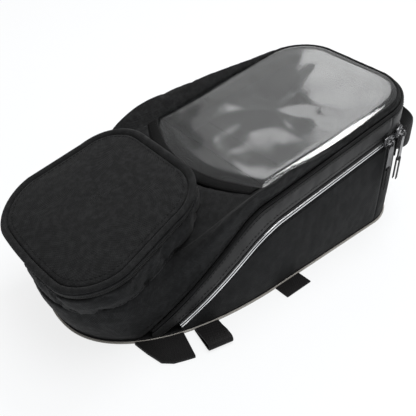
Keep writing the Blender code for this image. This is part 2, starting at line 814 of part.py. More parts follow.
def make_pull(name, bar, down, outward, finish):
    """Pull that hangs from a bridge bar: a wire eye, a flat tab with a rounded end, and a ribbon."""
    down = down.normalized()
    outward = (outward - outward.project(down)).normalized()
    across = down.cross(outward)
    frame = Matrix.Translation(bar) @ Matrix((across, down, outward)).transposed().to_4x4()
    eye_middle = EYE_RADIUS - BRIDGE_RADIUS - EYE_WIRE - EYE_PLAY
    ring = []
    steps = 16
    for step in range(steps):
        turn = 2.0 * math.pi * step / steps
        centre = Vector((0.0, eye_middle + EYE_RADIUS * math.sin(turn), EYE_RADIUS * 0.75 * math.cos(turn)))
        away = Vector((0.0, math.sin(turn), math.cos(turn)))
        section = []
        for side in range(6):
            angle = 2.0 * math.pi * side / 6
            spot = centre + EYE_WIRE * (math.cos(angle) * away + math.sin(angle) * Vector((1.0, 0.0, 0.0)))
            section.append(frame @ spot)
        ring.append(section)
    eye = loft(name + "_eye", ring, None, closed=True)
    start = eye_middle + EYE_RADIUS - EYE_WIRE * 0.5
    half = PULL_WIDTH / 2.0
    neck = half * 0.55
    outer = [(-neck, start), (neck, start), (half, start + half)]
    arc = []
    for step in range(9):
        turn = math.pi * step / 8
        arc.append((half * math.cos(turn), start + PULL_LENGTH - half + half * math.sin(turn)))
    outer += arc + [(-half, start + half)]
    place = frame @ Matrix.Translation((0.0, 0.0, PULL_THICK / 2.0))
    tab = plate(name, [Vector(point) for point in outer], PULL_THICK, finish["metal"], place)
    hole_at = frame @ Matrix.Translation((0.0, start + PULL_LENGTH - half, 0.0))
    hole = block(name + "_hole", (PULL_WIDTH * 0.62, PULL_WIDTH * 0.24, PULL_THICK * 4.0), hole_at, None)
    cut(tab, hole)
    union(tab, [eye])
    set_origin(tab, bar)
    return frame, start + PULL_LENGTH - half


def make_ribbon(name, frame, hole_at, bar, finish):
    """Doubled ribbon through the pull's slot, closed round its lower edge and hanging below it."""
    clear = PULL_THICK / 2.0 + GAP + RIBBON_THICK / 2.0
    end = hole_at + RIBBON_LENGTH
    route = [Vector((0.0, end, -clear)), Vector((0.0, hole_at + 0.001, -clear)), Vector((0.0, hole_at, -clear * 0.6)),
             Vector((0.0, hole_at - 0.0003, 0.0)), Vector((0.0, hole_at, clear * 0.6)),
             Vector((0.0, hole_at + 0.001, clear)), Vector((0.0, end, clear))]
    normals = [Vector((0.0, 0.0, -1.0)), Vector((0.0, -0.2, -1.0)).normalized(), Vector((0.0, -1.0, -0.6)).normalized(),
               Vector((0.0, -1.0, 0.0)), Vector((0.0, -1.0, 0.6)).normalized(),
               Vector((0.0, -0.2, 1.0)).normalized(), Vector((0.0, 0.0, 1.0))]
    flat = ribbon_sections(route, normals, Vector((1.0, 0.0, 0.0)), RIBBON_WIDTH * 0.8, RIBBON_THICK)
    sections = [[frame @ point for point in section] for section in flat]
    set_origin(loft(name, sections, finish["webbing"]), bar)


def side_direction(side):
    """Direction up the straight side of the outline and its outward normal."""
    _, taper = corner_centre()
    along = Vector((math.cos(taper), -side * math.sin(taper), 0.0))
    outward = Vector((math.sin(taper), side * math.cos(taper), 0.0))
    return along, outward


def build_main_sliders(finish):
    along, outward = side_direction(-1)
    centre, taper = corner_centre()
    down = Vector((0.0, 0.0, -1.0))
    share = (NEAR_SLIDER_X - WIDEST_X) / (centre.x - WIDEST_X)
    y = -(HALF_WIDTH + (HIGH_HALF_WIDTH - HALF_WIDTH) * share) + WALL_INSET
    point = Vector((NEAR_SLIDER_X, y, zip_height(NEAR_SLIDER_X)))
    slope = Vector((along.x, along.y, TOP_SLOPE * along.x))
    bar = make_slider("zip_slider_side", slider_frame(point, slope, outward), finish)
    frame, hole_at = make_pull("zip_pull_side", bar, down, outward, finish)
    make_ribbon("pull_ribbon_side", frame, hole_at, bar, finish)
    print("side slider at", [round(value, 5) for value in point], "axis", [round(v, 5) for v in slope.normalized()],
          "bar", [round(value, 5) for value in bar])

    turn = -(math.pi / 2.0 - taper) + END_SLIDER_TURN
    outward = Vector((math.cos(turn), math.sin(turn), 0.0))
    radius = CORNER_RADIUS - WALL_INSET
    plan = Vector((centre.x, -centre.y, 0.0)) + radius * outward
    point = Vector((plan.x, plan.y, zip_height(plan.x)))
    along = Vector((-math.sin(turn), math.cos(turn), 0.0))
    slope = Vector((along.x, along.y, TOP_SLOPE * along.x))
    bar = make_slider("zip_slider_end", slider_frame(point, slope, outward), finish)
    frame, hole_at = make_pull("zip_pull_end", bar, down, outward, finish)
    make_ribbon("pull_ribbon_end", frame, hole_at, bar, finish)
    pivot = Vector((centre.x, -centre.y, zip_height(centre.x)))
    print("end slider pivot", [round(value, 5) for value in pivot], "bar", [round(value, 5) for value in bar],
          "bar axis", [round(value, 5) for value in slope.normalized()])


def build_pocket_slider(finish):
    """Slider on the pocket's left side, which the window side of the pocket hides."""
    ring = pocket_ring(POCKET_ZIP_LEVEL)
    steps = 6
    high = ring[steps]
    low = ring[steps + 1]
    foot = pocket_ring(0.0)
    top = pocket_ring(1.0)

    def height(index):
        return pocket_height(foot[index].x, top[index].x, POCKET_ZIP_LEVEL)

    first = Vector((*high, height(steps)))
    last = Vector((*low, height(steps + 1)))
    share = (POCKET_SLIDER_X - first.x) / (last.x - first.x)
    point = first.lerp(last, share)
    along = (first - last).normalized()
    outward = Vector((-along.y, along.x, 0.0))
    bar = make_slider("pocket_slider", slider_frame(point, along, outward), finish)
    frame, hole_at = make_pull("pocket_pull", bar, Vector((0.0, 0.0, -1.0)), outward, finish)
    print("pocket slider at", [round(value, 5) for value in point], "axis", [round(v, 5) for v in along],
          "bar", [round(value, 5) for value in bar])


def build_handle(finish):
    """Webbing grab handle that stands off the high end wall, sewn on at both corners."""
    centre, _ = corner_centre()
    wall = CORNER_RADIUS - WALL_INSET + GAP / 3.0 + WEBBING_THICK / 2.0
    steps = 20
    path = []
    normals = []
    for step in range(steps + 1):
        share = math.sin(math.pi * (step / steps - 0.5))
        turn = HANDLE_TURN * share
        lift = HANDLE_REACH * (1.0 - share ** 6)
        outward = Vector((math.cos(turn), math.sin(turn), 0.0))
        spot = Vector((centre.x, centre.y * share, 0.0)) + (wall + lift) * outward
        path.append(spot + Vector((0.0, 0.0, HANDLE_LOW_Z + HANDLE_WIDTH / 2.0)))
    for index in range(steps + 1):
        run = path[min(steps, index + 1)] - path[max(0, index - 1)]
        normals.append(Vector((run.y, -run.x, 0.0)).normalized())
    sections = ribbon_sections(path, normals, Vector((0.0, 0.0, 1.0)), HANDLE_WIDTH, WEBBING_THICK)
    loft("grab_handle", sections, finish["webbing"])
    for side, word in ((-1.0, "right"), (1.0, "left")):
        turn = side * (HANDLE_TURN + (PATCH_LENGTH / 2.0 + PATCH_CLEARANCE) / CORNER_RADIUS)
        outward = Vector((math.cos(turn), math.sin(turn), 0.0))
        middle = Vector((centre.x, side * centre.y, HANDLE_LOW_Z + HANDLE_WIDTH / 2.0))
        reach = CORNER_RADIUS - WALL_INSET + GAP + WEBBING_THICK / 2.0
        frame = slider_frame(middle + reach * outward, Vector((-outward.y, outward.x, 0.0)), outward)
        patch_size = (PATCH_LENGTH, HANDLE_WIDTH, WEBBING_THICK)
        block("handle_patch_" + word, patch_size, frame, finish["webbing"], 0.0003)


def outline_frame(x, side):
    """Point, tangent and outward normal of the base outline at an x on its low half."""
    step = 0.001
    def spot(at):
        share = min(1.0, (WIDEST_X - at) / LOW_REACH)
        return Vector((at, side * HALF_WIDTH * (1.0 - share ** LOW_POWER) ** (1.0 / LOW_POWER), 0.0))
    tangent = (spot(x + step) - spot(x - step)).normalized()
    outward = Vector((-tangent.y, tangent.x, 0.0)) * side
    return spot(x), tangent, outward


def build_straps(finish):
    for side, word in ((-1.0, "right"), (1.0, "left")):
        point, tangent, outward = outline_frame(LOOP_X, side)
        floor = WEBBING_THICK / 2.0
        half = LOOP_HEIGHT / 2.0 - floor
        flat = LOOP_REACH - LOOP_HEIGHT / 2.0
        route = [(0.0, floor), (flat, floor)]
        for step in range(1, 6):
            turn = math.pi * step / 6 - math.pi / 2.0
            route.append((flat + half * math.cos(turn), floor + half + half * math.sin(turn)))
        route += [(flat, floor + 2.0 * half), (flat * 0.7, floor + 1.8 * half)]
        route += [(flat * 0.35, floor + half), (GAP * 4.0, floor + WEBBING_THICK + GAP)]
        start = point + outward * GAP * 1.5
        path = [start + outward * reach + Vector((0.0, 0.0, level)) for reach, level in route]
        normals = []
        for index in range(len(path)):
            run = (path[min(len(path) - 1, index + 1)] - path[max(0, index - 1)]).normalized()
            normals.append(run.cross(tangent))
        loop = loft("strap_loop_" + word, ribbon_sections(path, normals, tangent, LOOP_WIDTH, WEBBING_THICK),
                    finish["webbing"])
        pivot = start + Vector((0.0, 0.0, WEBBING_THICK))
        set_origin(loop, pivot)
        print("loop pivot", word, [round(v, 5) for v in pivot], "axis", [round(v, 5) for v in tangent])
        inner = []
        outer = []
        steps = 5
        for step in range(steps + 1):
            x = STRAP_LOW_X + (STRAP_HIGH_X - STRAP_LOW_X) * step / steps
            point, tangent, outward = outline_frame(x, side)
            inner.append(point + outward * GAP * 3.0)
            reach = STRAP_REACH * min(1.0, 2.2 * step / steps)
            outer.append(point + outward * (GAP * 3.0 + 0.001 + reach))
        ring = [Vector((spot.x, spot.y)) for spot in inner + list(reversed(outer))]
        plate("strap_end_" + word, ring, STRAP_THICK, finish["webbing"],
              Matrix.Translation((0.0, 0.0, STRAP_THICK)))


def build_tag(finish):
    """Plain folded tab sewn into the base seam on the right side."""
    along, outward = side_direction(-1)
    share = (TAG_X - WIDEST_X) / (corner_centre()[0].x - WIDEST_X)
    y = -(HALF_WIDTH + (HIGH_HALF_WIDTH - HALF_WIDTH) * share)
    point = Vector((TAG_X, y, 0.0)) + outward * GAP
    turned = Matrix((along, -outward, Vector((0.0, 0.0, 1.0)))).transposed().to_4x4()
    frame = Matrix.Translation(point + Vector((0.0, 0.0, TAG_THICK))) @ turned
    ring = [Vector((-TAG_LENGTH / 2.0, 0.0)), Vector((TAG_LENGTH / 2.0, 0.0)),
            Vector((TAG_LENGTH / 2.0, -TAG_REACH)), Vector((-TAG_LENGTH / 2.0, -TAG_REACH))]
    plate("side_tag", ring, TAG_THICK, finish["webbing"], frame)


def main():
    global parts, cutters
    for old in list(bpy.data.objects):
        bpy.data.objects.remove(old)
    parts = bpy.data.collections.new("tank_bag")
    cutters = bpy.data.collections.new("cutters")
    for group in (parts, cutters):
        bpy.context.scene.collection.children.link(group)
    finish = {
        "fabric": material("black_fabric", (0.025, 0.026, 0.027), 0.75),
        "satin": material("satin_band", (0.04, 0.04, 0.041), 0.5),
        "binding": material("edge_binding", (0.02, 0.02, 0.021), 0.6),
        "silver": material("reflective_silver", (0.72, 0.73, 0.74), 0.35),
        "zip": material("zip_tape", (0.012, 0.012, 0.013), 0.6),
        "clear": material("clear_film", (0.85, 0.87, 0.88), 0.08, alpha=0.25),
        "lining": material("grey_lining", (0.05, 0.05, 0.052), 0.8),
        "hook": material("hook_and_loop", (0.015, 0.015, 0.016), 0.95),
        "board": material("stiffener_board", (0.06, 0.06, 0.06), 0.7),
        "grip": material("grip_base", (0.07, 0.07, 0.068), 0.85),
        "metal": material("gunmetal", (0.22, 0.22, 0.23), 0.35, metallic=1.0),
        "webbing": material("black_webbing", (0.018, 0.017, 0.018), 0.8),
    }
    build_base(finish)
    build_side_panels(finish)
    build_piping(finish)
    build_main_zip(finish)
    build_lid_band(finish)
    build_lid_rim(finish)
    build_lid_panel(finish)
    build_window(finish)
    build_sleeve(finish)
    build_pocket(finish)
    build_main_sliders(finish)
    build_pocket_slider(finish)
    build_handle(finish)
    build_straps(finish)
    build_tag(finish)


main()
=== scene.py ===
import math
from contextlib import contextmanager

import bmesh
import bpy
from bpy.props import FloatProperty, FloatVectorProperty, IntProperty, PointerProperty
from bpy.types import Operator, Panel, PropertyGroup
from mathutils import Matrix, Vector, noise
from mathutils.bvhtree import BVHTree
from mathutils.geometry import intersect_line_line_2d


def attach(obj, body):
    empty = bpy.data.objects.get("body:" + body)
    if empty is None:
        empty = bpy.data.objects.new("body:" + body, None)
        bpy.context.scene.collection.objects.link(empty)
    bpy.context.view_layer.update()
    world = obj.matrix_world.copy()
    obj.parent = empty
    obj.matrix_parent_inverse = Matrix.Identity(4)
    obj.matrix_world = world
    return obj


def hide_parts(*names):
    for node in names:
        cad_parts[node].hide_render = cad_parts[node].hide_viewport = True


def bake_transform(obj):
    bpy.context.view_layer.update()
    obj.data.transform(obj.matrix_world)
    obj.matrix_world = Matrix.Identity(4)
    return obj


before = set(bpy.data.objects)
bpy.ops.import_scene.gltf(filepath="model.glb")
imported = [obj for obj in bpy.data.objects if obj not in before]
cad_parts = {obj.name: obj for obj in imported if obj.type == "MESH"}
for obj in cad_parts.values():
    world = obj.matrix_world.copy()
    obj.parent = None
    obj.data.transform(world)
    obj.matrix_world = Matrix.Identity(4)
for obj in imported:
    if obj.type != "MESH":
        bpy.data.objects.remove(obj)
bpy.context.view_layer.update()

bl_info = {
    "name": "Tank Bag Builder",
    "version": (1, 0, 0),
    "blender": (4, 5, 0),
    "location": "View3D > Sidebar > Tank Bag",
    "description": "Sews a padded tank bag with a clear window and a zipped pocket round its packed frame",
    "category": "Add Mesh",
}

# Sizes are in metres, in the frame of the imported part.

# Plan outline: the widest place, the reach of both ends from it, and the corners of the high end
WIDEST_X = -0.019
LOW_REACH = 0.157
HIGH_REACH = 0.195
HALF_WIDTH = 0.086
HIGH_HALF_WIDTH = 0.0805
CORNER_RADIUS = 0.048
LOW_POWER = 2.3

# Seam lines: level at the widest place, level and slope of the ramp at the low end, rounding between
TOP_SLOPE = 0.15
ZIP_LINE = (0.077, 0.0805, 0.78, 0.012)
SEAM_LINE = (0.101, 0.117, 0.98, 0.012)
CROWN_LINE = (0.106, 0.113, 0.449, 0.006)
SEAT = 0.0033
WALL_INSET = 0.001
SEAM_INSET = 0.0042
CROWN_INSET = 0.014

# Section of the base sheet and its bound edge: inset from the outline, height
BASE_SECTION = ((0.040, 0.0), (0.024, 0.0), (0.010, 0.0), (0.0010, 0.0), (0.0, 0.0002), (-0.0006, 0.0006),
                (-0.0006, 0.0014), (-0.0004, 0.0019), (0.0006, 0.0021), (0.0008, 0.0022), (0.0008, 0.0026),
                (0.0014, 0.0030), (0.0030, 0.0031), (0.010, 0.0030), (0.024, 0.0030), (0.040, 0.0030))
BASE_SHEET_TOP = 0.00212

# Upright panels, piping and the band of the lid
LEAST_HEIGHT = 0.002
FULL_HEIGHT = 0.05
PANEL_STEPS = 18
PANEL_BULGE = 0.0010
PANEL_STITCH = 0.955
PANEL_STITCH_HEIGHT = 0.012
PIPING_DROP = 0.0024
PIPING_INSET = 0.0010
PIPING_RADIUS = 0.0020
PIPING_SIDES = 24
GROOVE_SIDE = 2
GROOVE_DEPTH = 0.30
GROOVE_WIDTH = 1.1
BAND_STEPS = 12
BAND_BULGE = 0.0014
BAND_TIP = 0.003
BAND_GAP = 0.0003
BAND_STITCHES = (0.22, 0.90)
BAND_STITCH_HEIGHT = 0.010
BINDING_RADIUS = 0.0013
BINDING_GAP = 0.0009
BINDING_OUT = 0.0006

# Lining behind the band's seam and under the film's edge
LINING_THICK = 0.0006
LINING_STEPS = 4
LINING_DROP = 0.0060
LINING_RISE = 0.0015
LINING_LOW_INSET = 0.0028
LINING_HIGH_INSET = 0.0020

# Zip tapes and coils
ZIP_HALF = 0.0022
TAPE_INSET = 0.0010
TAPE_LAP = 0.0008
TAPE_GAP = 0.0002
TAPE_THICK = 0.0008
TAPE_STEPS = 3
COIL_OFFSET = 0.00055
COIL_INSET = 0.0004
COIL_RADIUS = 0.0007
COIL_TURN = 0.8

# Padded rim: eased out towards the high end, raised in shoulders along the sides, full over the nose.
# A pair is where a change starts and where it is complete, along x or from the widest place.
RIM_EASE = 0.0065
EASE_RANGE = (-0.030, 0.090)
RIM_STEPS = 16
HEM_STEPS = 8
SHOULDER_LIFT = 0.014
SHOULDER_PUSH = 0.45
SHOULDER_START = (-0.110, -0.035)
SHOULDER_END = (0.090, 0.005)
FAR_SHOULDER_END = (0.190, -0.010)
FAR_SIDE = (0.02, 0.06)
NOSE_RANGE = (0.085, 0.132)
NOSE_LIFT = 0.012
NOSE_PUSH = 0.016
FOOT_RANGE = (0.09, 0.13)
FOOT_PUSH = 0.0026
CEILING_GAP = 0.0016
CEILING_BLEND = 0.003
NOSE_BLEND = 0.005
SIDE_CLEAR = 0.025
SIDE_CLEAR_RANGE = (0.062, 0.086)
HIGH_CLEAR = 0.030
HIGH_CLEAR_END = -0.030
RIPPLE_RANGE = (0.05, 0.10)
CREASE_RANGE = (0.06, 0.10)
HEM_FLAT_RANGE = (-0.012, -0.034)
HEM_WIDTH = 0.0008
HEM_FLAT_WIDTH = 0.034
HEM_FALL = 0.0030
HEM_FLAT_FALL = 0.0016
HEM_FLAT_RISE = 0.0006
RIM_STITCH_LEVEL = 0.004

# Window: its bowed low edge, the trim along it, the film and the sleeve behind it
WINDOW_LOW_X = -0.042
WINDOW_BOW = 0.022
WINDOW_MIDDLE = Vector((0.062, 0.0))
WINDOW_EDGE_STEPS = 40
WINDOW_LOW_GAP = 0.004
TRIM_WIDTH = 0.010
TRIM_STEPS = 10
TRIM_LAP = 0.0006
TRIM_RISE = 0.0006
TRIM_SWELL = 0.0012
TRIM_THICK = 0.0018
TRIM_STITCHES = (2, 8)
LID_PANEL_STEPS = 24
LID_PANEL_COLUMNS = 60
LID_PANEL_SIDE_GAP = 0.002
LID_PANEL_LOW_GAP = 0.0003
LID_PANEL_HIGH_GAP = 0.0008
FILM_LEVEL = 0.1054
FILM_THICK = 0.0005
FILM_LAP = 0.0012
FILM_DOME = 0.0024
FILM_DOME_REACH = 0.012
FILM_DROP = 0.0008
FILM_WAVE_START = 0.004
# Waves of the film: level of the noise, its squeeze across, size, depth, distance from the edge to the full wave
FILM_WAVES = ((0.3, 1.0, 0.075, 0.0020, 0.04), (0.7, 0.35, 0.030, 0.0006, 0.03))
FILM_SHARES = (1.0, 0.992, 0.984, 0.975, 0.965, 0.953, 0.94, 0.925, 0.905, 0.88, 0.85, 0.82, 0.78, 0.72,
               0.65, 0.57, 0.48, 0.39, 0.30, 0.21, 0.12, 0.05)
SLEEVE_INSET = 0.0188
SLEEVE_LOW_X = -0.0148
FLANGE_INSET = 0.0012
FLANGE_LAP = 0.0006
FLANGE_REACH = 0.014
FLANGE_STEPS = 6
FLANGE_RISE = 0.0004
FLANGE_DROP = 0.0022

# Pocket outline at its foot and at its top: low x, high x, low half width, high half width, corner radius
POCKET_FOOT = (-0.176, -0.056, 0.068, 0.063, 0.044)
POCKET_TOP = (-0.189, -0.064, 0.0745, 0.067, 0.038)
POCKET_GAP = 0.0003
POCKET_LOW_TOP = 0.082
POCKET_SLOPE = 0.354
POCKET_BOW = 0.007
POCKET_ZIP_LEVEL = 0.74
POCKET_TAPE_LAP = 0.02
POCKET_TAPE_GAP = 0.008
POCKET_COIL_OFFSET = 0.022
POCKET_TAPE_INSET = 0.0012
POCKET_COIL_INSET = 0.0006

# Pocket wall: insets of its floor, level and inset of its gusset, and the wall above
POCKET_FLOOR_INSETS = (0.030, 0.024, 0.018, 0.012, 0.008, 0.005)
POCKET_FLOOR_DROP = 0.0002
POCKET_GUSSET = ((0.004, 0.0028), (0.012, 0.0012))
POCKET_WALL_LEVEL = 0.03
POCKET_WALL_STEPS = 14
POCKET_WALL_BULGE = 0.0012

# Pocket cover: level, inset and drop round its rolled rim, with the rim's groove at a level of 0.92
COVER_LAP = 0.012
COVER_LAP_INSET = 0.0004
COVER_SECTION = ((0.82, -0.0004, 0.0), (0.86, -0.0006, 0.0), (0.89, -0.0002, 0.0), (0.905, 0.0008, 0.0),
                 (0.915, 0.0020, 0.0), (0.925, 0.0024, 0.0), (0.935, 0.0016, 0.0), (0.945, 0.0002, 0.0),
                 (0.96, -0.0008, 0.0), (0.98, -0.0010, 0.0), (1.0, -0.0004, 0.0002), (1.0, 0.0006, -0.0006),
                 (1.0, 0.0018, -0.0009), (1.0, 0.0032, -0.0007), (1.0, 0.0042, 0.0), (1.0, 0.0049, 0.0012),
                 (1.0, 0.0054, 0.0022))
COVER_RIM_THICK = 0.0012
TOP_PAD_INSET = 0.0052
TOP_PAD_SHARES = [1.0, 0.993, 0.985, 0.975, 0.96, 0.945, 0.92] + [0.88 - 0.04 * step for step in range(22)]
TOP_PAD_SEWN = 3
TOP_PAD_STITCH = 5
TOP_PAD_GROOVE = 0.0024
TOP_PAD_GROOVE_WIDTH = 0.003
TOP_PAD_EDGE = 0.0010
TOP_PAD_EDGE_WIDTH = 0.015
TOP_PAD_CROWN = 0.0026

# Webbing grab handle on the high end
HANDLE_HALF_TURN = math.radians(44.0)
HANDLE_BOW = 0.029
HANDLE_FOOT = 0.066
HANDLE_WIDTH = 0.025
HANDLE_STEPS = 60
WEBBING_THICK = 0.0018

# Steps of the sewn outlines
END_STEPS = 8
CORNER_STEPS = 22
SIDE_STEPS = 48
LOW_STEPS = 60
CORNER_COLUMN = END_STEPS + CORNER_STEPS
ARC_STEPS = 14
STRAIGHT_STEPS = 22

# Mesh limits
SHARP_ANGLE = math.radians(50.0)
COPY_SHARP_ANGLE = math.radians(40.0)
COPY_BEVEL_ANGLE = math.radians(35.0)
COPY_FLAT_ANGLE = math.radians(1.0)
WELD = 0.000001
COPY_WELD = 0.00001

# How the sewn panels behave as cloth while they settle
CLOTH = {"quality": 6, "mass": 0.12, "tension_stiffness": 15.0, "compression_stiffness": 15.0,
         "bending_stiffness": 0.6, "use_pressure": True}

finishes = {}
seams = {}


class TankBagSizes(PropertyGroup):
    """Sizes a maker would change without cutting new panels."""
    stitch_length: FloatProperty(name="Stitch Length", description="Length of one stitch on the surface",
                                 default=0.0026, unit="LENGTH")
    stitch_gap: FloatProperty(name="Stitch Gap", description="Space between two stitches",
                              default=0.0010, unit="LENGTH")
    thread_radius: FloatProperty(name="Thread Radius", description="Radius of the sewing thread",
                                 default=0.00028, unit="LENGTH")
    coil_pitch: FloatProperty(name="Coil Pitch", description="Spacing of the zip coil's turns",
                              default=0.0013, unit="LENGTH")
    panel_slack: FloatProperty(name="Panel Slack", description="Spare cloth in the sewn panels",
                               default=0.012, subtype="FACTOR")
    panel_pressure: FloatProperty(name="Panel Pressure", description="Push of the padding behind the panels",
                                  default=4.0)
    settle_frames: IntProperty(name="Settle Frames", description="Frames the cloth settles for", default=20)
    cloth_thickness: FloatProperty(name="Cloth Thickness", description="Thickness of the padded panels",
                                   default=0.0020, unit="LENGTH")


class TankBagColours(PropertyGroup):
    """Colours of the cloths, trims and metal."""
    shell_cloth: FloatVectorProperty(name="Shell Cloth", description="Colour of the padded panels", size=3,
                                     subtype="COLOR", default=(0.0150, 0.0153, 0.0158))
    band_satin: FloatVectorProperty(name="Band Satin", description="Colour of the smooth band on the lid", size=3,
                                    subtype="COLOR", default=(0.021, 0.021, 0.0215))
    webbing: FloatVectorProperty(name="Webbing", description="Colour of the straps and the handle", size=3,
                                 subtype="COLOR", default=(0.0085, 0.0080, 0.0083))
    silver_tape: FloatVectorProperty(name="Silver Tape", description="Colour of the reflective piping", size=3,
                                     subtype="COLOR", default=(0.74, 0.75, 0.77))
    thread: FloatVectorProperty(name="Thread", description="Colour of the sewing thread", size=3,
                                subtype="COLOR", default=(0.008, 0.008, 0.0083))
    grip_base: FloatVectorProperty(name="Grip Base", description="Colour of the rubbery base sheet", size=3,
                                   subtype="COLOR", default=(0.33, 0.31, 0.28))
    metal: FloatVectorProperty(name="Metal", description="Colour of the sliders and pulls", size=3,
                               subtype="COLOR", default=(0.10, 0.10, 0.104))


# Shape of the sewn outline


def lower_of(first, second, blend):
    """The lower of two heights, rounded where they cross."""
    share = min(1.0, max(0.0, 0.5 + 0.5 * (second - first) / blend))
    return second * (1.0 - share) + first * share - blend * share * (1.0 - share)


def line_height(x, line):
    """Height of a seam line that runs level over the body and ramps down at the low end."""
    level, ramp_level, ramp_slope, blend = line
    along = x - WIDEST_X
    return lower_of(level + TOP_SLOPE * along, ramp_level + ramp_slope * along, blend)


def fade(value, start, end):
    """Smooth step from 0 at start to 1 at end."""
    share = min(1.0, max(0.0, (value - start) / (end - start)))
    return share * share * (3.0 - 2.0 * share)


def corner_centre():
    """Centre of the high corner on the left side, and the taper of the straight side."""
    x = WIDEST_X + HIGH_REACH - CORNER_RADIUS
    taper = math.atan2(HALF_WIDTH - HIGH_HALF_WIDTH, x - WIDEST_X)
    return Vector((x, HIGH_HALF_WIDTH - CORNER_RADIUS)), taper


def half_outline(inset):
    """Left half of the plan outline, from the middle of the high end to the tip of the low end."""
    centre, taper = corner_centre()
    radius = CORNER_RADIUS - inset
    points = [Vector((centre.x + radius, centre.y * step / END_STEPS)) for step in range(END_STEPS)]
    sweep = math.pi / 2.0 - taper
    for step in range(CORNER_STEPS + 1):
        turn = sweep * step / CORNER_STEPS
        points.append(centre + radius * Vector((math.cos(turn), math.sin(turn))))
    start = points[-1]
    widest = Vector((WIDEST_X, HALF_WIDTH - inset))
    points += [start.lerp(widest, step / SIDE_STEPS) for step in range(1, SIDE_STEPS + 1)]
    for step in range(1, LOW_STEPS + 1):
        turn = math.pi / 2.0 * step / LOW_STEPS
        along = (LOW_REACH - inset) * math.sin(turn) ** (2.0 / LOW_POWER)
        across = (HALF_WIDTH - inset) * max(0.0, math.cos(turn)) ** (2.0 / LOW_POWER)
        points.append(Vector((WIDEST_X - along, across if step < LOW_STEPS else 0.0)))
    return points


def eased_half(inset):
    """Left half of the plan outline, set in less and less towards the high end."""
    return [point.lerp(outer, fade(point.x, *EASE_RANGE))
            for point, outer in zip(half_outline(inset), half_outline(inset - RIM_EASE))]


def outline(inset, half=half_outline):
    """Whole plan outline, anticlockwise from the middle of the high end."""
    left = half(inset)
    return left + [Vector((point.x, -point.y)) for point in reversed(left[1:-1])]


def column_at(ring, position):
    """Point of an outline at a column position, which may lie between two columns."""
    before = math.floor(position)
    count = len(ring)
    return ring[before % count].lerp(ring[(before + 1) % count], position - before)


def column_of_x(x):
    """Column position on the left side where the outline has a given x."""
    half = half_outline(0.0)
    for index in range(CORNER_COLUMN, len(half) - 1):
        if half[index].x >= x >= half[index + 1].x:
            return index + (half[index].x - x) / (half[index].x - half[index + 1].x)
    return float(CORNER_COLUMN)


def side_columns(low_x, side):
    """Column positions of one side, from low_x to where the high corner starts."""
    last = column_of_x(low_x)
    whole = [float(index) for index in range(CORNER_COLUMN, math.ceil(last))]
    return [side * position for position in reversed(whole + [last])]


def end_columns():
    """Column positions round the high end, from side to side."""
    return [float(index) for index in range(-CORNER_COLUMN, CORNER_COLUMN + 1)]


def round_columns(low_x):
    """Column positions from the right low corner, round the high end, to the left low corner."""
    return side_columns(low_x, -1) + end_columns()[1:-1] + list(reversed(side_columns(low_x, 1)))


def panel_low_x():
    """Where the side panel and its piping run out on the base."""
    return WIDEST_X - (ZIP_LINE[1] - ZIP_HALF - 2.0 * PIPING_DROP - SEAT - LEAST_HEIGHT) / ZIP_LINE[2]


def band_low_x():
    """Where the lid's band runs out on the base."""
    return WIDEST_X - (SEAM_LINE[1] - 2.0 * BINDING_RADIUS - SEAT - BAND_TIP) / SEAM_LINE[2]


def low_edge_x(y, inset):
    """X of the outline's low end at a distance from the middle line."""
    share = min(1.0, abs(y) / (HALF_WIDTH - inset))
    return WIDEST_X - (LOW_REACH - inset) * (1.0 - share ** LOW_POWER) ** (1.0 / LOW_POWER)


def window_low_x(y):
    """X of the window's bowed low edge."""
    return WINDOW_LOW_X + WINDOW_BOW * (y / (HALF_WIDTH - CROWN_INSET)) ** 2


def film_height(x):
    """Level of the film's edge."""
    return FILM_LEVEL + TOP_SLOPE * (x - WIDEST_X)


def pocket_foot_height(x):
    """Height of the pocket's foot on the ramp of the lid."""
    return CROWN_LINE[1] + CROWN_LINE[2] * (x - WIDEST_X) + POCKET_GAP


def pocket_top_height(x):
    """Height of the pocket's sloping top."""
    return POCKET_LOW_TOP + POCKET_SLOPE * (x - POCKET_TOP[0])


def pocket_ring(level, inset=0.0):
    """Plan outline of the pocket at a level from 0, its foot, to 1, its top."""
    low_x, high_x, low_half, high_half, radius = [
        foot + (top - foot) * level for foot, top in zip(POCKET_FOOT, POCKET_TOP)]
    corners = [(high_x - inset, high_half - inset, 1.0, 1.0), (low_x + inset, low_half - inset, -1.0, 1.0),
               (low_x + inset, low_half - inset, -1.0, -1.0), (high_x - inset, high_half - inset, 1.0, -1.0)]
    radius -= inset
    arcs = []
    for turn_index, (x, half, way_x, way_y) in enumerate(corners):
        centre = Vector((x - way_x * radius, way_y * (half - radius)))
        arc = []
        for step in range(ARC_STEPS + 1):
            turn = math.pi / 2.0 * (turn_index + step / ARC_STEPS)
            arc.append(centre + radius * Vector((math.cos(turn), math.sin(turn))))
        arcs.append(arc)
    points = []
    for index, arc in enumerate(arcs):
        after = arcs[(index + 1) % len(arcs)][0]
        points += arc
        points += [arc[-1].lerp(after, step / STRAIGHT_STEPS) for step in range(1, STRAIGHT_STEPS)]
    for point in points:
        low = fade(point.x, high_x, low_x)
        point.x -= POCKET_BOW * low * low * max(0.0, 1.0 - (point.y / low_half) ** 2)
    return points


def pocket_line(level, inset, drop=0.0):
    """Closed line on the pocket's skin at a level, set in from its face and lowered by drop."""
    face = pocket_ring(level)
    spots = pocket_ring(level, inset)
    feet = pocket_ring(0.0)
    tops = pocket_ring(1.0)
    line = []
    for spot, outer, foot, top in zip(spots, face, feet, tops):
        shift = spot.x - outer.x
        low = pocket_foot_height(foot.x + shift)
        line.append(Vector((*spot, low + (pocket_top_height(top.x + shift) - low) * level - drop)))
    return line


def ripple(point, size, depth):
    """Smooth uneven lift of cloth that was sewn by hand."""
    return depth * noise.fractal(point / size, 1.0, 2.0, 3)


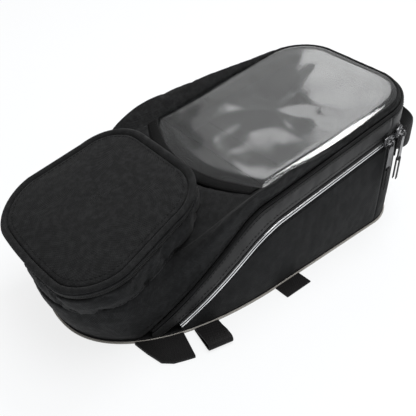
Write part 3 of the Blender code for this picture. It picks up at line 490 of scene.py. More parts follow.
def crease(point, size, depth):
    """Depth of the folds in slack cloth: narrow valleys between soft humps."""
    valley = max(0.0, 1.0 - 4.0 * abs(noise.noise(point / size)))
    return depth * (noise.noise(point / (1.6 * size)) - valley * valley)


# Meshes


def add_piece(name, mesh, finish):
    """Put a mesh in the scene as a finished object at the origin."""
    made = bpy.data.objects.new(name, mesh)
    bpy.context.scene.collection.objects.link(made)
    if finish:
        mesh.materials.append(finishes[finish])
    mesh.shade_smooth()
    return made


def skin(name, rows, finish, closed=False, flip=False):
    """Cloth grid through rows of points, with a UV map in metres along and across the cloth."""
    count = len(rows)
    width = len(rows[0])
    middle = width // 2
    along = [0.0]
    for index in range(count if closed else count - 1):
        along.append(along[-1] + (rows[(index + 1) % count][middle] - rows[index][middle]).length)
    half = count // 2
    across = [0.0]
    for index in range(width - 1):
        across.append(across[-1] + (rows[half][index + 1] - rows[half][index]).length)
    faces = []
    spread = []
    for first in range(count if closed else count - 1):
        second = (first + 1) % count
        for part in range(width - 1):
            near = first * width + part
            far = second * width + part
            face = [near, far, far + 1, near + 1]
            spot = [(along[first], across[part]), (along[first + 1], across[part]),
                    (along[first + 1], across[part + 1]), (along[first], across[part + 1])]
            if flip:
                face.reverse()
                spot.reverse()
            faces.append(face)
            spread += spot
    mesh = bpy.data.meshes.new(name)
    mesh.from_pydata([point for row in rows for point in row], [], faces)
    layer = mesh.uv_layers.new(name="Cloth")
    for loop, spot in zip(layer.data, spread):
        loop.uv = spot
    return add_piece(name, mesh, finish)


def ring_rows(lines):
    """Grid rows from closed lines, one row for each point round them."""
    return [[line[index] for line in lines] for index in range(len(lines[0]))]


@contextmanager
def edit_mesh(mesh):
    """Open a mesh for editing, and write it back at the end."""
    bm = bmesh.new()
    bm.from_mesh(mesh)
    yield bm
    bm.to_mesh(mesh)
    bm.free()


def tube(name, rings, finish):
    """Solid through a row of rings, with a UV map in metres along and around it and closed ends."""
    made = skin(name, [ring + [ring[0]] for ring in rings], finish)
    with edit_mesh(made.data) as bm:
        bmesh.ops.remove_doubles(bm, verts=bm.verts, dist=WELD)
        edges = [edge for edge in bm.edges if edge.is_boundary]
        bmesh.ops.holes_fill(bm, edges=edges, sides=len(rings[0]) + 1)
        bm.normal_update()
        bmesh.ops.recalc_face_normals(bm, faces=bm.faces)
    made.data.shade_smooth()
    made.data.set_sharp_from_angle(angle=SHARP_ANGLE)
    return made


def close_ring(piece, line):
    """Close the hole of a cloth grid whose edge is the given line."""
    marks = {tuple(round(value, 5) for value in point) for point in line}
    with edit_mesh(piece.data) as bm:
        rim = [edge for edge in bm.edges if edge.is_boundary
               and all(tuple(round(value, 5) for value in vertex.co) in marks for vertex in edge.verts)]
        bmesh.ops.holes_fill(bm, edges=rim)
        bm.normal_update()
    piece.data.shade_smooth()


def face_up(piece):
    """Turn the faces of a flat cloth grid upwards."""
    if sum(face.normal.z for face in piece.data.polygons) < 0.0:
        piece.data.flip_normals()


def thicken(piece, thickness):
    """Give a cloth grid its thickness, inwards from the face."""
    shell = piece.modifiers.new("Thickness", "SOLIDIFY")
    shell.thickness = thickness
    shell.offset = -1.0
    return piece


def round_rings(path, radius, sides):
    """Round rings along a path of points, square to the path."""
    rings = []
    for index, point in enumerate(path):
        along = (path[min(len(path) - 1, index + 1)] - path[max(0, index - 1)]).normalized()
        side = along.cross(Vector((0.0, 0.0, 1.0))).normalized()
        up = side.cross(along)
        turns = [2.0 * math.pi * step / sides for step in range(sides)]
        rings.append([point + radius * (math.cos(turn) * side + math.sin(turn) * up) for turn in turns])
    return rings


def webbing_rings(path, normals, across, width, thickness):
    """Rings of a flat strap with soft selvedges along a path."""
    profile = []
    steps = 8
    for way in (1.0, -1.0):
        for step in range(steps + 1):
            share = way * (1.0 - 2.0 * step / steps)
            height = way * (1.0 - abs(share) ** 6 * 0.75)
            profile.append((share * width / 2.0, height * thickness / 2.0))
    return [[point + across * out + normal * lift for out, lift in profile]
            for point, normal in zip(path, normals)]


def soft_copy(node, name, finish, bevel):
    """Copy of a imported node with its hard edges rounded."""
    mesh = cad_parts[node].data.copy()
    mesh.materials.clear()
    mesh.name = name
    with edit_mesh(mesh) as bm:
        bmesh.ops.remove_doubles(bm, verts=bm.verts, dist=COPY_WELD)
        bmesh.ops.dissolve_limit(bm, angle_limit=COPY_FLAT_ANGLE, verts=bm.verts, edges=bm.edges)
    made = add_piece(name, mesh, finish)
    layer = mesh.uv_layers.new(name="Cloth")
    for face in mesh.polygons:
        across = max(range(3), key=lambda axis: abs(face.normal[axis]))
        first, second = [axis for axis in range(3) if axis != across]
        for loop in face.loop_indices:
            spot = mesh.vertices[mesh.loops[loop].vertex_index].co
            layer.data[loop].uv = (spot[first], spot[second])
    mesh.set_sharp_from_angle(angle=COPY_SHARP_ANGLE)
    rounding = made.modifiers.new("Rounding", "BEVEL")
    rounding.width = bevel
    rounding.segments = 3
    rounding.limit_method = "ANGLE"
    rounding.angle_limit = COPY_BEVEL_ANGLE
    rounding.harden_normals = True
    return made


def settle(piece, sewn, pressure, slack, cap):
    """Let a sewn panel settle as cloth over its padding, held along its seams, by up to cap.

    Pressure and slack are shares of the panel pressure and the panel slack.
    """
    scene = bpy.context.scene
    sizes = scene.tank_bag_sizes
    start = [vertex.co.copy() for vertex in piece.data.vertices]
    group = piece.vertex_groups.new(name="Sewn")
    group.add(sewn, 1.0, "REPLACE")
    cloth = piece.modifiers.new("Settle", "CLOTH")
    for key, value in CLOTH.items():
        setattr(cloth.settings, key, value)
    cloth.settings.vertex_group_mass = group.name
    cloth.settings.uniform_pressure_force = pressure * sizes.panel_pressure
    cloth.settings.shrink_min = -slack * sizes.panel_slack
    cloth.settings.effector_weights.gravity = 0.0
    cloth.collision_settings.use_collision = False
    cloth.point_cache.frame_start = 1
    cloth.point_cache.frame_end = sizes.settle_frames
    for step in range(1, sizes.settle_frames + 1):
        scene.frame_set(step)
    evaluated = piece.evaluated_get(bpy.context.evaluated_depsgraph_get())
    moved = [vertex.co.copy() for vertex in evaluated.data.vertices]
    piece.modifiers.remove(cloth)
    piece.vertex_groups.remove(group)
    scene.frame_set(1)
    for vertex, before, after in zip(piece.data.vertices, start, moved):
        step = after - before
        if step.length > cap:
            step *= cap / step.length
        vertex.co = before + step
    piece.data.update()


def grid_edges(rows):
    """Vertex numbers of a grid's two long edges and two ends."""
    count = len(rows)
    width = len(rows[0])
    sewn = [index * width + side for index in range(count) for side in (0, width - 1)]
    return sewn + list(range(width)) + list(range((count - 1) * width, count * width))


def grid_parts(rows, parts):
    """Vertex numbers of some of the points in every row of a grid."""
    return [index * len(row) + part for index, row in enumerate(rows) for part in parts]


def finish_piece(piece, body, slot, *nodes):
    """Bind a finished piece to its body and hide its CAD nodes; the slot is not used."""
    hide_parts(*nodes)
    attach(piece, body)
    return piece


def fold_piece(piece, slot, *nodes):
    """Apply the modifiers of a lid piece that is sewn down at the low end, hide its CAD nodes and bake its
    placement into its mesh; the slot is not used.
    """
    plain = bpy.data.meshes.new_from_object(piece.evaluated_get(bpy.context.evaluated_depsgraph_get()))
    plain.name = piece.name
    piece.modifiers.clear()
    piece.data = plain
    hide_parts(*nodes)
    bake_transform(piece)
    return piece


def finish_sewn(piece, body, slot, *nodes):
    """Finish a piece that runs all round the bag: the lid's has its modifiers applied and its placement baked,
    any other just rides on its body.
    """
    if body == "lid":
        return fold_piece(piece, slot, *nodes)
    return finish_piece(piece, body, slot, *nodes)


def finish_copies(jobs):
    """Make and bind soft copies: node, ending of the new name, finish, rounding, body and slot."""
    for node, ending, finish, bevel, body, slot in jobs:
        finish_piece(soft_copy(node, node + ending, finish, bevel), body, slot, node)


def stitch_line(body, piece, path, closed=False, lift=0.00012):
    """Note a line of stitching that lies on a piece."""
    tree = BVHTree.FromObject(piece, bpy.context.evaluated_depsgraph_get())
    laid = []
    for point in path:
        place, normal, _, _ = tree.find_nearest(point)
        if place is None:
            raise RuntimeError("no surface under a stitch on " + piece.name)
        laid.append(place + normal * lift)
    seams.setdefault(body, []).append((laid, closed))


def stitch_panel(body, piece, rows, share, least):
    """Note a line of stitching at a share of a panel's height, where the panel is higher than least."""
    line = [row[0].lerp(row[-1], share) for row in rows if (row[-1] - row[0]).length > least]
    stitch_line(body, piece, line)


def joined_paths(name, paths):
    """Mesh of plain edges along several paths."""
    points = []
    edges = []
    for path, closed in paths:
        first = len(points)
        points += path
        edges += [(first + index, first + index + 1) for index in range(len(path) - 1)]
        if closed:
            edges.append((len(points) - 1, first))
    mesh = bpy.data.meshes.new(name)
    mesh.from_pydata(points, edges, [])
    made = bpy.data.objects.new(name, mesh)
    bpy.context.scene.collection.objects.link(made)
    return made


# Geometry Nodes


def set_inputs(node, values):
    """Set a node's inputs, by their names or numbers."""
    for label, value in values.items():
        node.inputs[label].default_value = value


def bead_tree(name):
    """Node tree that strings rounded beads along paths: stitches, or the turns of a zip coil."""
    tree = bpy.data.node_groups.new(name, "GeometryNodeTree")
    tree.interface.new_socket("Geometry", in_out="INPUT", socket_type="NodeSocketGeometry")
    for label in ("Spacing", "Bead Length", "Bead Radius"):
        socket = tree.interface.new_socket(label, in_out="INPUT", socket_type="NodeSocketFloat")
        socket.subtype = "DISTANCE"
    tree.interface.new_socket("Material", in_out="INPUT", socket_type="NodeSocketMaterial")
    tree.interface.new_socket("Geometry", in_out="OUTPUT", socket_type="NodeSocketGeometry")
    source, target, curve, spots, ball, halve, size, place, real, smooth, paint = [
        tree.nodes.new(kind) for kind in (
            "NodeGroupInput", "NodeGroupOutput", "GeometryNodeMeshToCurve", "GeometryNodeCurveToPoints",
            "GeometryNodeMeshUVSphere", "ShaderNodeMath", "ShaderNodeCombineXYZ",
            "GeometryNodeInstanceOnPoints", "GeometryNodeRealizeInstances", "GeometryNodeSetShadeSmooth",
            "GeometryNodeSetMaterial")]
    spots.mode = "LENGTH"
    set_inputs(ball, {"Segments": 6, "Rings": 4, "Radius": 1.0})
    halve.operation = "MULTIPLY"
    set_inputs(halve, {1: 0.5})
    for giver, given, taker, taken in (
            (source, "Geometry", curve, "Mesh"), (curve, "Curve", spots, "Curve"),
            (source, "Spacing", spots, "Length"), (source, "Bead Length", halve, 0),
            (source, "Bead Radius", size, "X"), (source, "Bead Radius", size, "Y"), (halve, 0, size, "Z"),
            (spots, "Points", place, "Points"), (spots, "Rotation", place, "Rotation"),
            (ball, "Mesh", place, "Instance"), (size, "Vector", place, "Scale"),
            (place, "Instances", smooth, "Geometry"), (smooth, "Geometry", real, "Geometry"),
            (real, "Geometry", paint, "Geometry"), (source, "Material", paint, "Material"),
            (paint, "Geometry", target, "Geometry")):
        tree.links.new(giver.outputs[given], taker.inputs[taken])
    return tree


def string_beads(name, paths, spacing, length, radius, finish):
    """Plain mesh of beads along paths, made by the bead tree."""
    tree = bpy.data.node_groups.get("Bead Run") or bead_tree("Bead Run")
    route = joined_paths(name + "_route", paths)
    step = route.modifiers.new("Beads", "NODES")
    step.node_group = tree
    values = {"Spacing": spacing, "Bead Length": length, "Bead Radius": radius, "Material": finishes[finish]}
    for item in tree.interface.items_tree:
        if item.item_type == "SOCKET" and item.in_out == "INPUT" and item.name in values:
            step[item.identifier] = values[item.name]
    bpy.context.view_layer.update()
    evaluated = route.evaluated_get(bpy.context.evaluated_depsgraph_get())
    mesh = bpy.data.meshes.new_from_object(evaluated)
    mesh.name = name
    plain = route.data
    bpy.data.objects.remove(route)
    bpy.data.meshes.remove(plain)
    if not mesh.polygons:
        raise RuntimeError("no beads were made for " + name)
    made = bpy.data.objects.new(name, mesh)
    bpy.context.scene.collection.objects.link(made)
    return made


# Shader groups and materials


def math_node(tree, operation, first, second=None):
    """Math node with sockets or plain numbers as its inputs."""
    node = tree.nodes.new("ShaderNodeMath")
    node.operation = operation
    for index, value in enumerate((first, second)):
        if value is None:
            continue
        if isinstance(value, (int, float)):
            node.inputs[index].default_value = value
        else:
            tree.links.new(value, node.inputs[index])
    return node.outputs[0]


def noise_node(tree, vector, values):
    """Noise texture over a vector; returns its value."""
    node = tree.nodes.new("ShaderNodeTexNoise")
    set_inputs(node, values)
    tree.links.new(vector, node.inputs["Vector"])
    return node.outputs["Fac"]


def map_node(tree, value, values):
    """Map Range node on a value; returns its result."""
    node = tree.nodes.new("ShaderNodeMapRange")
    set_inputs(node, values)
    tree.links.new(value, node.inputs["Value"])
    return node.outputs["Result"]


def mix_node(tree, share, first, second, blend="MIX"):
    """Colour mix of a socket with another socket or a plain colour."""
    node = tree.nodes.new("ShaderNodeMix")
    node.data_type = "RGBA"
    node.blend_type = blend
    tree.links.new(share, node.inputs["Factor"])
    tree.links.new(first, node.inputs[6])
    if isinstance(second, tuple):
        node.inputs[7].default_value = second
    else:
        tree.links.new(second, node.inputs[7])
    return node.outputs[2]


def shader_group(name, inputs, outputs):
    """Empty shader group with named sockets; returns the tree, its inputs and its output node."""
    tree = bpy.data.node_groups.new(name, "ShaderNodeTree")
    for label, kind, default in inputs:
        socket = tree.interface.new_socket(label, in_out="INPUT", socket_type=kind)
        if default is not None:
            socket.default_value = default
    for label, kind in outputs:
        tree.interface.new_socket(label, in_out="OUTPUT", socket_type=kind)
    source = tree.nodes.new("NodeGroupInput")
    target = tree.nodes.new("NodeGroupOutput")
    return tree, source.outputs, target.inputs


def make_weave_group():
    """Over and under of warp and weft, from a UV map in metres, with painted shade in the gaps between the
    threads.
    """
    tree, source, target = shader_group(
        "Cloth Weave",
        [("Vector", "NodeSocketVector", None), ("Warp Pitch", "NodeSocketFloat", 0.001),
         ("Weft Pitch", "NodeSocketFloat", 0.001), ("Slub", "NodeSocketFloat", 0.3)],
        [("Height", "NodeSocketFloat"), ("Gaps", "NodeSocketFloat")])
    split = tree.nodes.new("ShaderNodeSeparateXYZ")
    tree.links.new(source["Vector"], split.inputs[0])
    turns = []
    for axis, pitch in (("X", "Warp Pitch"), ("Y", "Weft Pitch")):
        count = math_node(tree, "DIVIDE", split.outputs[axis], source[pitch])
        turns.append(math_node(tree, "SINE", math_node(tree, "MULTIPLY", count, math.pi)))
    product = math_node(tree, "MULTIPLY", turns[0], turns[1])
    uneven = noise_node(tree, source["Vector"], {"Scale": 900.0, "Detail": 2.0})
    slub = math_node(tree, "MULTIPLY", uneven, source["Slub"])
    tree.links.new(math_node(tree, "ADD", product, slub), target["Height"])
    # Painted shade: this output is 1 in the gaps between the threads, where the cloth colour is darkened
    tree.links.new(math_node(tree, "SUBTRACT", 1.0, math_node(tree, "ABSOLUTE", product)), target["Gaps"])


def make_wear_group():
    """Uneven fading, rubbed patches and lint from Object coordinates."""
    tree, source, target = shader_group(
        "Cloth Wear",
        [("Vector", "NodeSocketVector", None), ("Colour", "NodeSocketColor", (0.02, 0.02, 0.02, 1.0)),
         ("Faded", "NodeSocketColor", (0.04, 0.04, 0.04, 1.0)), ("Patch Size", "NodeSocketFloat", 0.03),
         ("Base Roughness", "NodeSocketFloat", 0.8)],
        [("Colour", "NodeSocketColor"), ("Roughness", "NodeSocketFloat")])
    wide = noise_node(tree, source["Vector"], {"Detail": 5.0, "Roughness": 0.62})
    scale = wide.node.inputs["Scale"]
    tree.links.new(math_node(tree, "DIVIDE", 1.0, source["Patch Size"]), scale)
    fine = noise_node(tree, source["Vector"], {"Scale": 900.0, "Detail": 1.0})
    rubbed = map_node(tree, wide, {"From Min": 0.41, "From Max": 0.66})
    lint = math_node(tree, "MULTIPLY", math_node(tree, "SUBTRACT", fine, 0.5), 0.9)
    clamp = tree.nodes.new("ShaderNodeClamp")
    tree.links.new(math_node(tree, "ADD", rubbed, lint), clamp.inputs["Value"])
    tree.links.new(mix_node(tree, clamp.outputs[0], source["Colour"], source["Faded"]), target["Colour"])
    drop = math_node(tree, "MULTIPLY", rubbed, -0.10)
    tree.links.new(math_node(tree, "ADD", source["Base Roughness"], drop), target["Roughness"])


def make_grain_group():
    """Fine grain for rubber, beads and brushed metal, from Object coordinates."""
    tree, source, target = shader_group(
        "Fine Grain",
        [("Vector", "NodeSocketVector", None), ("Grain Size", "NodeSocketFloat", 0.0006)],
        [("Height", "NodeSocketFloat")])
    cells = tree.nodes.new("ShaderNodeTexVoronoi")
    tree.links.new(source["Vector"], cells.inputs["Vector"])
    tree.links.new(math_node(tree, "DIVIDE", 1.0, source["Grain Size"]), cells.inputs["Scale"])
    tree.links.new(math_node(tree, "SUBTRACT", 1.0, cells.outputs["Distance"]), target["Height"])


def new_finish(name, values):
    """New material with plain shader values; returns its tree, its shader and its coordinates."""
    made = bpy.data.materials.new(name)
    made.use_nodes = True
    finishes[name] = made
    tree = made.node_tree
    shader = tree.nodes["Principled BSDF"]
    set_inputs(shader, values)
    return tree, shader, tree.nodes.new("ShaderNodeTexCoord").outputs


def place_group(tree, name, vector, values):
    """Place a shader group with its own values over a vector; returns its outputs."""
    node = tree.nodes.new("ShaderNodeGroup")
    node.node_tree = bpy.data.node_groups[name]
    set_inputs(node, values)
    tree.links.new(vector, node.inputs["Vector"])
    return node.outputs


def add_bump(tree, shader, height, strength, distance):
    """Raise the shader's normal from a height."""
    bump = tree.nodes.new("ShaderNodeBump")
    set_inputs(bump, {"Strength": strength, "Distance": distance})
    tree.links.new(height, bump.inputs["Height"])
    tree.links.new(bump.outputs["Normal"], shader.inputs["Normal"])


def add_grain(tree, shader, spot, size, strength, distance):
    """Raise the shader's normal with fine grain."""
    grain = place_group(tree, "Fine Grain", spot["Object"], {"Grain Size": size})
    add_bump(tree, shader, grain["Height"], strength, distance)


def add_wear(tree, shader, spot, colour, faded, patch, roughness):
    """Fade the shader's roughness unevenly; returns the faded colour."""
    wear = place_group(tree, "Cloth Wear", spot["Object"],
                       {"Colour": (*colour, 1.0), "Faded": (*faded, 1.0), "Patch Size": patch,
                        "Base Roughness": roughness})
    tree.links.new(wear["Roughness"], shader.inputs["Roughness"])
    return wear["Colour"]


def cloth_finish(name, colour, fade_by, pitch, depth, roughness, sheen, patch=0.03, shine=0.10):
    """Woven cloth: weave and painted shade in its gaps from the UV map, fading and lint from Object coordinates.
    """
    tree, shader, spot = new_finish(name, {"Sheen Weight": sheen, "Sheen Roughness": 0.45,
                                           "Specular IOR Level": shine})
    faded = tuple(min(1.0, value * fade_by) for value in colour)
    worn = add_wear(tree, shader, spot, colour, faded, patch, roughness)
    weave = place_group(tree, "Cloth Weave", spot["UV"],
                        {"Warp Pitch": pitch[0], "Weft Pitch": pitch[1], "Slub": 0.35})
    # Painted shade: the cloth colour is darkened in the gaps between the threads
    gap_shade = math_node(tree, "MULTIPLY", weave["Gaps"], 0.55)
    shade = mix_node(tree, gap_shade, worn, (0.35, 0.35, 0.35, 1.0), "MULTIPLY")
    tree.links.new(shade, shader.inputs["Base Color"])
    add_bump(tree, shader, weave["Height"], 0.55, depth)


def worn_finish(name, colour, faded, patch, roughness, metallic=0.0, grain=None):
    """Smooth material with uneven fading, and grain of a size, strength and depth."""
    tree, shader, spot = new_finish(name, {"Metallic": metallic})
    tree.links.new(add_wear(tree, shader, spot, colour, faded, patch, roughness), shader.inputs["Base Color"])
    if grain:
        add_grain(tree, shader, spot, *grain)


def plain_finish(name, colour, grain, values):
    """Material of one colour, with grain of a size, strength and depth."""
    tree, shader, spot = new_finish(name, {"Base Color": (*colour, 1.0), **values})
    add_grain(tree, shader, spot, *grain)


def film_finish(name):
    """Clear film with a slight uneven haze."""
    tree, shader, spot = new_finish(name, {"Base Color": (0.86, 0.88, 0.89, 1.0), "Transmission Weight": 1.0,
                                           "IOR": 1.52})
    haze = noise_node(tree, spot["Object"], {"Scale": 38.0, "Detail": 3.0})
    tree.links.new(map_node(tree, haze, {"To Min": 0.06, "To Max": 0.14}), shader.inputs["Roughness"])


def make_finishes():
    """Every finish of the bag."""
    colours = bpy.context.scene.tank_bag_colours
    make_weave_group()
    make_wear_group()
    make_grain_group()
    cloth = tuple(colours.shell_cloth)
    pocket, tape, binding = [tuple(share * value for value in cloth) for share in (0.86, 0.28, 0.6)]
    cloth_finish("shell_cloth", cloth, 1.25, (0.0009, 0.0009), 0.00012, 0.78, 0.04, patch=0.010)
    cloth_finish("pocket_cloth", pocket, 1.7, (0.0011, 0.0011), 0.00016, 0.78, 0.05, patch=0.005)
    cloth_finish("trim_tape", tape, 1.6, (0.0008, 0.0016), 0.00010, 0.75, 0.02)
    cloth_finish("band_satin", tuple(colours.band_satin), 1.25, (0.0007, 0.0007), 0.00004, 0.46, 0.03,
                 shine=0.22)
    cloth_finish("binding_tape", binding, 1.5, (0.0008, 0.0016), 0.00010, 0.7, 0.05)
    cloth_finish("lining_cloth", (0.006, 0.006, 0.0063), 1.5, (0.0012, 0.0012), 0.00010, 0.75, 0.05)
    cloth_finish("zip_tape", (0.006, 0.006, 0.006), 1.5, (0.0006, 0.0012), 0.00008, 0.75, 0.05)
    cloth_finish("webbing", tuple(colours.webbing), 1.5, (0.0011, 0.0022), 0.00030, 0.66, 0.06, shine=0.16)
    worn_finish("silver_tape", colours.silver_tape, (0.88, 0.89, 0.90), 0.012, 0.22, metallic=0.75,
                grain=(0.0005, 0.10, 0.0001))
    worn_finish("zip_coil", (0.007, 0.007, 0.007), (0.015, 0.015, 0.015), 0.01, 0.38)
    worn_finish("board_plastic", (0.020, 0.020, 0.021), (0.034, 0.034, 0.035), 0.05, 0.6,
                grain=(0.0012, 0.3, 0.0002))
    worn_finish("grip_rubber", colours.grip_base, (0.42, 0.40, 0.37), 0.03, 0.75, grain=(0.0035, 0.6, 0.0005))
    worn_finish("slider_metal", colours.metal, (0.17, 0.17, 0.175), 0.006, 0.28, metallic=0.9,
                grain=(0.0007, 0.06, 0.0001))
    plain_finish("thread", colours.thread, (0.0003, 0.3, 0.0001),
                 {"Roughness": 0.75, "Specular IOR Level": 0.15})
    plain_finish("hook_fuzz", (0.012, 0.012, 0.012), (0.0009, 0.9, 0.0006),
                 {"Roughness": 0.9, "Sheen Weight": 0.3})
    film_finish("clear_film")


# Pieces


def wall_rows(columns, inset, bottom, top, steps, bulge):
    """Grid of an upright panel along outline columns, bulged out between its two seams."""
    outer = outline(inset)
    inner = outline(inset + 0.002)
    rows = []
    for position in columns:
        face = column_at(outer, position)
        away = (face - column_at(inner, position)).normalized()
        low = bottom(face.x)
        high = top(face.x)
        fullness = bulge * min(1.0, (high - low) / FULL_HEIGHT)
        row = []
        for step in range(steps + 1):
            share = step / steps
            spot = face + away * (fullness * math.sin(math.pi * share) ** 0.8)
            row.append(Vector((*spot, low + (high - low) * share)))
        rows.append(row)
    return rows


def panel_columns(names, low_x):
    """Names of the right, left and end panels, each with its outline columns."""
    return zip(names, (side_columns(low_x, -1), list(reversed(side_columns(low_x, 1))), end_columns()))


def zip_coil(node, path, closed):
    """Coil of one half of a zip."""
    pitch = bpy.context.scene.tank_bag_sizes.coil_pitch
    return string_beads(node + "_coil", [(path, closed)], pitch, COIL_TURN * pitch, COIL_RADIUS, "zip_coil")


def seen_share(tree):
    """1 for rays that show the backdrop itself, 0 for rays that light the bag with it."""
    path = tree.nodes.new("ShaderNodeLightPath")
    mirrored = math_node(tree, "MAXIMUM", path.outputs["Is Glossy Ray"], path.outputs["Is Transmission Ray"])
    return math_node(tree, "MAXIMUM", path.outputs["Is Camera Ray"], mirrored)


def lay_floor(scene):
    """Pale paper floor that shows as bright as the backdrop."""
    mesh = bpy.data.meshes.new("studio_floor")
    reach = 30.0
    mesh.from_pydata([(-reach, -reach, 0.0), (reach, -reach, 0.0), (reach, reach, 0.0), (-reach, reach, 0.0)],
                     [], [(0, 1, 2, 3)])
    floor = bpy.data.objects.new("studio_floor", mesh)
    scene.collection.objects.link(floor)
    paper = bpy.data.materials.new("studio_paper")
    paper.use_nodes = True
    tree = paper.node_tree
    shader = tree.nodes["Principled BSDF"]
    set_inputs(shader, {"Base Color": (0.88, 0.92, 0.96, 1.0), "Roughness": 0.9, "Specular IOR Level": 0.1})
    glow = tree.nodes.new("ShaderNodeEmission")
    blend = tree.nodes.new("ShaderNodeMixShader")
    tree.links.new(math_node(tree, "MULTIPLY", seen_share(tree), 0.8), blend.inputs["Fac"])
    tree.links.new(shader.outputs["BSDF"], blend.inputs[1])
    tree.links.new(glow.outputs["Emission"], blend.inputs[2])
    tree.links.new(blend.outputs["Shader"], tree.nodes["Material Output"].inputs["Surface"])
    mesh.materials.append(paper)


def light_sky(scene):
    """White backdrop, brighter towards the horizon where it is seen."""
    world = scene.world or bpy.data.worlds.new("studio")
    scene.world = world
    world.use_nodes = True
    tree = world.node_tree
    tree.nodes.clear()
    sky = tree.nodes.new("ShaderNodeBackground")
    set_inputs(sky, {"Color": (1.0, 1.0, 1.0, 1.0)})
    way = tree.nodes.new("ShaderNodeTexCoord")
    split = tree.nodes.new("ShaderNodeSeparateXYZ")
    tree.links.new(way.outputs["Generated"], split.inputs[0])
    low = map_node(tree, split.outputs["Z"], {"From Min": 0.40, "From Max": 0.15, "To Max": 0.6})
    horizon = math_node(tree, "MULTIPLY", low, seen_share(tree))
    tree.links.new(math_node(tree, "ADD", horizon, 0.4), sky.inputs["Strength"])
    out = tree.nodes.new("ShaderNodeOutputWorld")
    tree.links.new(sky.outputs["Background"], out.inputs["Surface"])


def aim_object(scene, name, data, place, target):
    """Place a lamp or a camera so that it looks at a target."""
    made = bpy.data.objects.new(name, data)
    scene.collection.objects.link(made)
    made.location = place
    made.rotation_euler = (target - Vector(place)).to_track_quat("-Z", "Y").to_euler()
    return made


class TANKBAG_OT_stage(Operator):
    """Set the floor, the soft lights and the camera"""
    bl_idname = "tank_bag.stage"
    bl_label = "Stage"

    def execute(self, context):
        scene = context.scene
        scene.view_settings.view_transform = "Standard"
        lay_floor(scene)
        light_sky(scene)
        lamps = (("key_softbox", (0.10, -0.25, 1.35), 0.9, 0.9, 11.5),
                 ("back_softbox", (0.90, 1.08, 1.20), 0.72, 0.70, 0.95),
                 ("window_softbox", (1.12, 0.78, 1.15), 0.55, 0.42, 1.6),
                 ("near_softbox", (0.66, 0.62, 1.16), 0.55, 0.22, 0.95),
                 ("strip_softbox", (0.63, 0.14, 1.20), 0.34, 0.26, 4.0))
        for name, place, width, height, power in lamps:
            light = bpy.data.lights.new(name, "AREA")
            light.shape = "RECTANGLE"
            light.size = width
            light.size_y = height
            light.energy = power
            aim_object(scene, name, light, place, Vector((-0.02, 0.0, 0.05)))
        lens = bpy.data.cameras.new("photo_camera")
        lens.lens = 58.85
        lens.sensor_width = 36.0
        scene.camera = aim_object(scene, "photo_camera", lens, (-0.3305, -0.3842, 0.4237),
                                  Vector((-0.0196, -0.0036, 0.0459)))
        return {"FINISHED"}


class TANKBAG_OT_finishes(Operator):
    """Mix the cloth, film, rubber and metal finishes"""
    bl_idname = "tank_bag.finishes"
    bl_label = "Finishes"

    def execute(self, context):
        make_finishes()
        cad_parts["base_board"].data.materials.clear()
        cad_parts["base_board"].data.materials.append(finishes["board_plastic"])
        return {"FINISHED"}


class TANKBAG_OT_base(Operator):
    """Cut the grippy base sheet with its bound edge"""
    bl_idname = "tank_bag.base"
    bl_label = "Base"

    def execute(self, context):
        lines = [[Vector((*spot, level)) for spot in outline(inset)] for inset, level in BASE_SECTION]
        piece = skin("base_sheet", ring_rows(lines), "grip_rubber", closed=True)
        piece.data.materials.append(finishes["binding_tape"])
        with edit_mesh(piece.data) as bm:
            bmesh.ops.holes_fill(bm, edges=[edge for edge in bm.edges if edge.is_boundary])
            bm.normal_update()
            bmesh.ops.recalc_face_normals(bm, faces=bm.faces)
            for face in bm.faces:
                face.material_index = 1 if face.calc_center_median().z > BASE_SHEET_TOP else 0
        piece.data.set_sharp_from_angle(angle=SHARP_ANGLE)
        finish_piece(piece, "shell", "grip", "base_panel")
        return {"FINISHED"}


class TANKBAG_OT_walls(Operator):
    """Sew the side panels and the high end's panel and let them settle"""
    bl_idname = "tank_bag.walls"
    bl_label = "Side and End Panels"

    def execute(self, context):
        def top(x):
            return max(SEAT + LEAST_HEIGHT, line_height(x, ZIP_LINE) - ZIP_HALF - 2.0 * PIPING_DROP)

        names = ("side_panel_right", "side_panel_left", "end_panel")
        for node, columns in panel_columns(names, panel_low_x()):
            rows = wall_rows(columns, WALL_INSET, lambda x: SEAT, top, PANEL_STEPS, PANEL_BULGE)
            piece = skin(node + "_cloth", rows, "shell_cloth")
            settle(piece, grid_edges(rows), pressure=0.5, slack=0.2, cap=0.002)
            thicken(piece, context.scene.tank_bag_sizes.cloth_thickness)
            finish_piece(piece, "shell", "fabric", node)
            stitch_panel("shell", piece, rows, PANEL_STITCH, PANEL_STITCH_HEIGHT)
        return {"FINISHED"}


class TANKBAG_OT_piping(Operator):
    """Run the reflective piping under the main zip"""
    bl_idname = "tank_bag.piping"
    bl_label = "Reflective Piping"

    def execute(self, context):
        core = outline(WALL_INSET + PIPING_INSET)
        wall = outline(WALL_INSET)
        path = []
        for position in round_columns(panel_low_x()):
            level = line_height(column_at(wall, position).x, ZIP_LINE) - ZIP_HALF - PIPING_DROP
            path.append(Vector((*column_at(core, position), level)))
        half = PIPING_SIDES // 2
        rings = []
        for ring, point in zip(round_rings(path, PIPING_RADIUS, PIPING_SIDES), path):
            grooved = []
            for step, spot in enumerate(ring):
                turn = (step - GROOVE_SIDE + half) % PIPING_SIDES - half
                groove = GROOVE_DEPTH * math.exp(-(turn / GROOVE_WIDTH) ** 2)
                grooved.append(point + (spot - point) * (1.0 - groove))
            rings.append(grooved)
        piece = tube("silver_piping", rings, "silver_tape")
        # The groove's faces take the dark binding tape: partly the piping's own dark seam line, partly painted
        # shade in the groove
        piece.data.materials.append(finishes["binding_tape"])
        for face in piece.data.polygons[:PIPING_SIDES * (len(path) - 1)]:
            if face.index % PIPING_SIDES in (GROOVE_SIDE - 1, GROOVE_SIDE):
                face.material_index = 1
        finish_piece(piece, "shell", "silver", "reflective_piping")
        return {"FINISHED"}


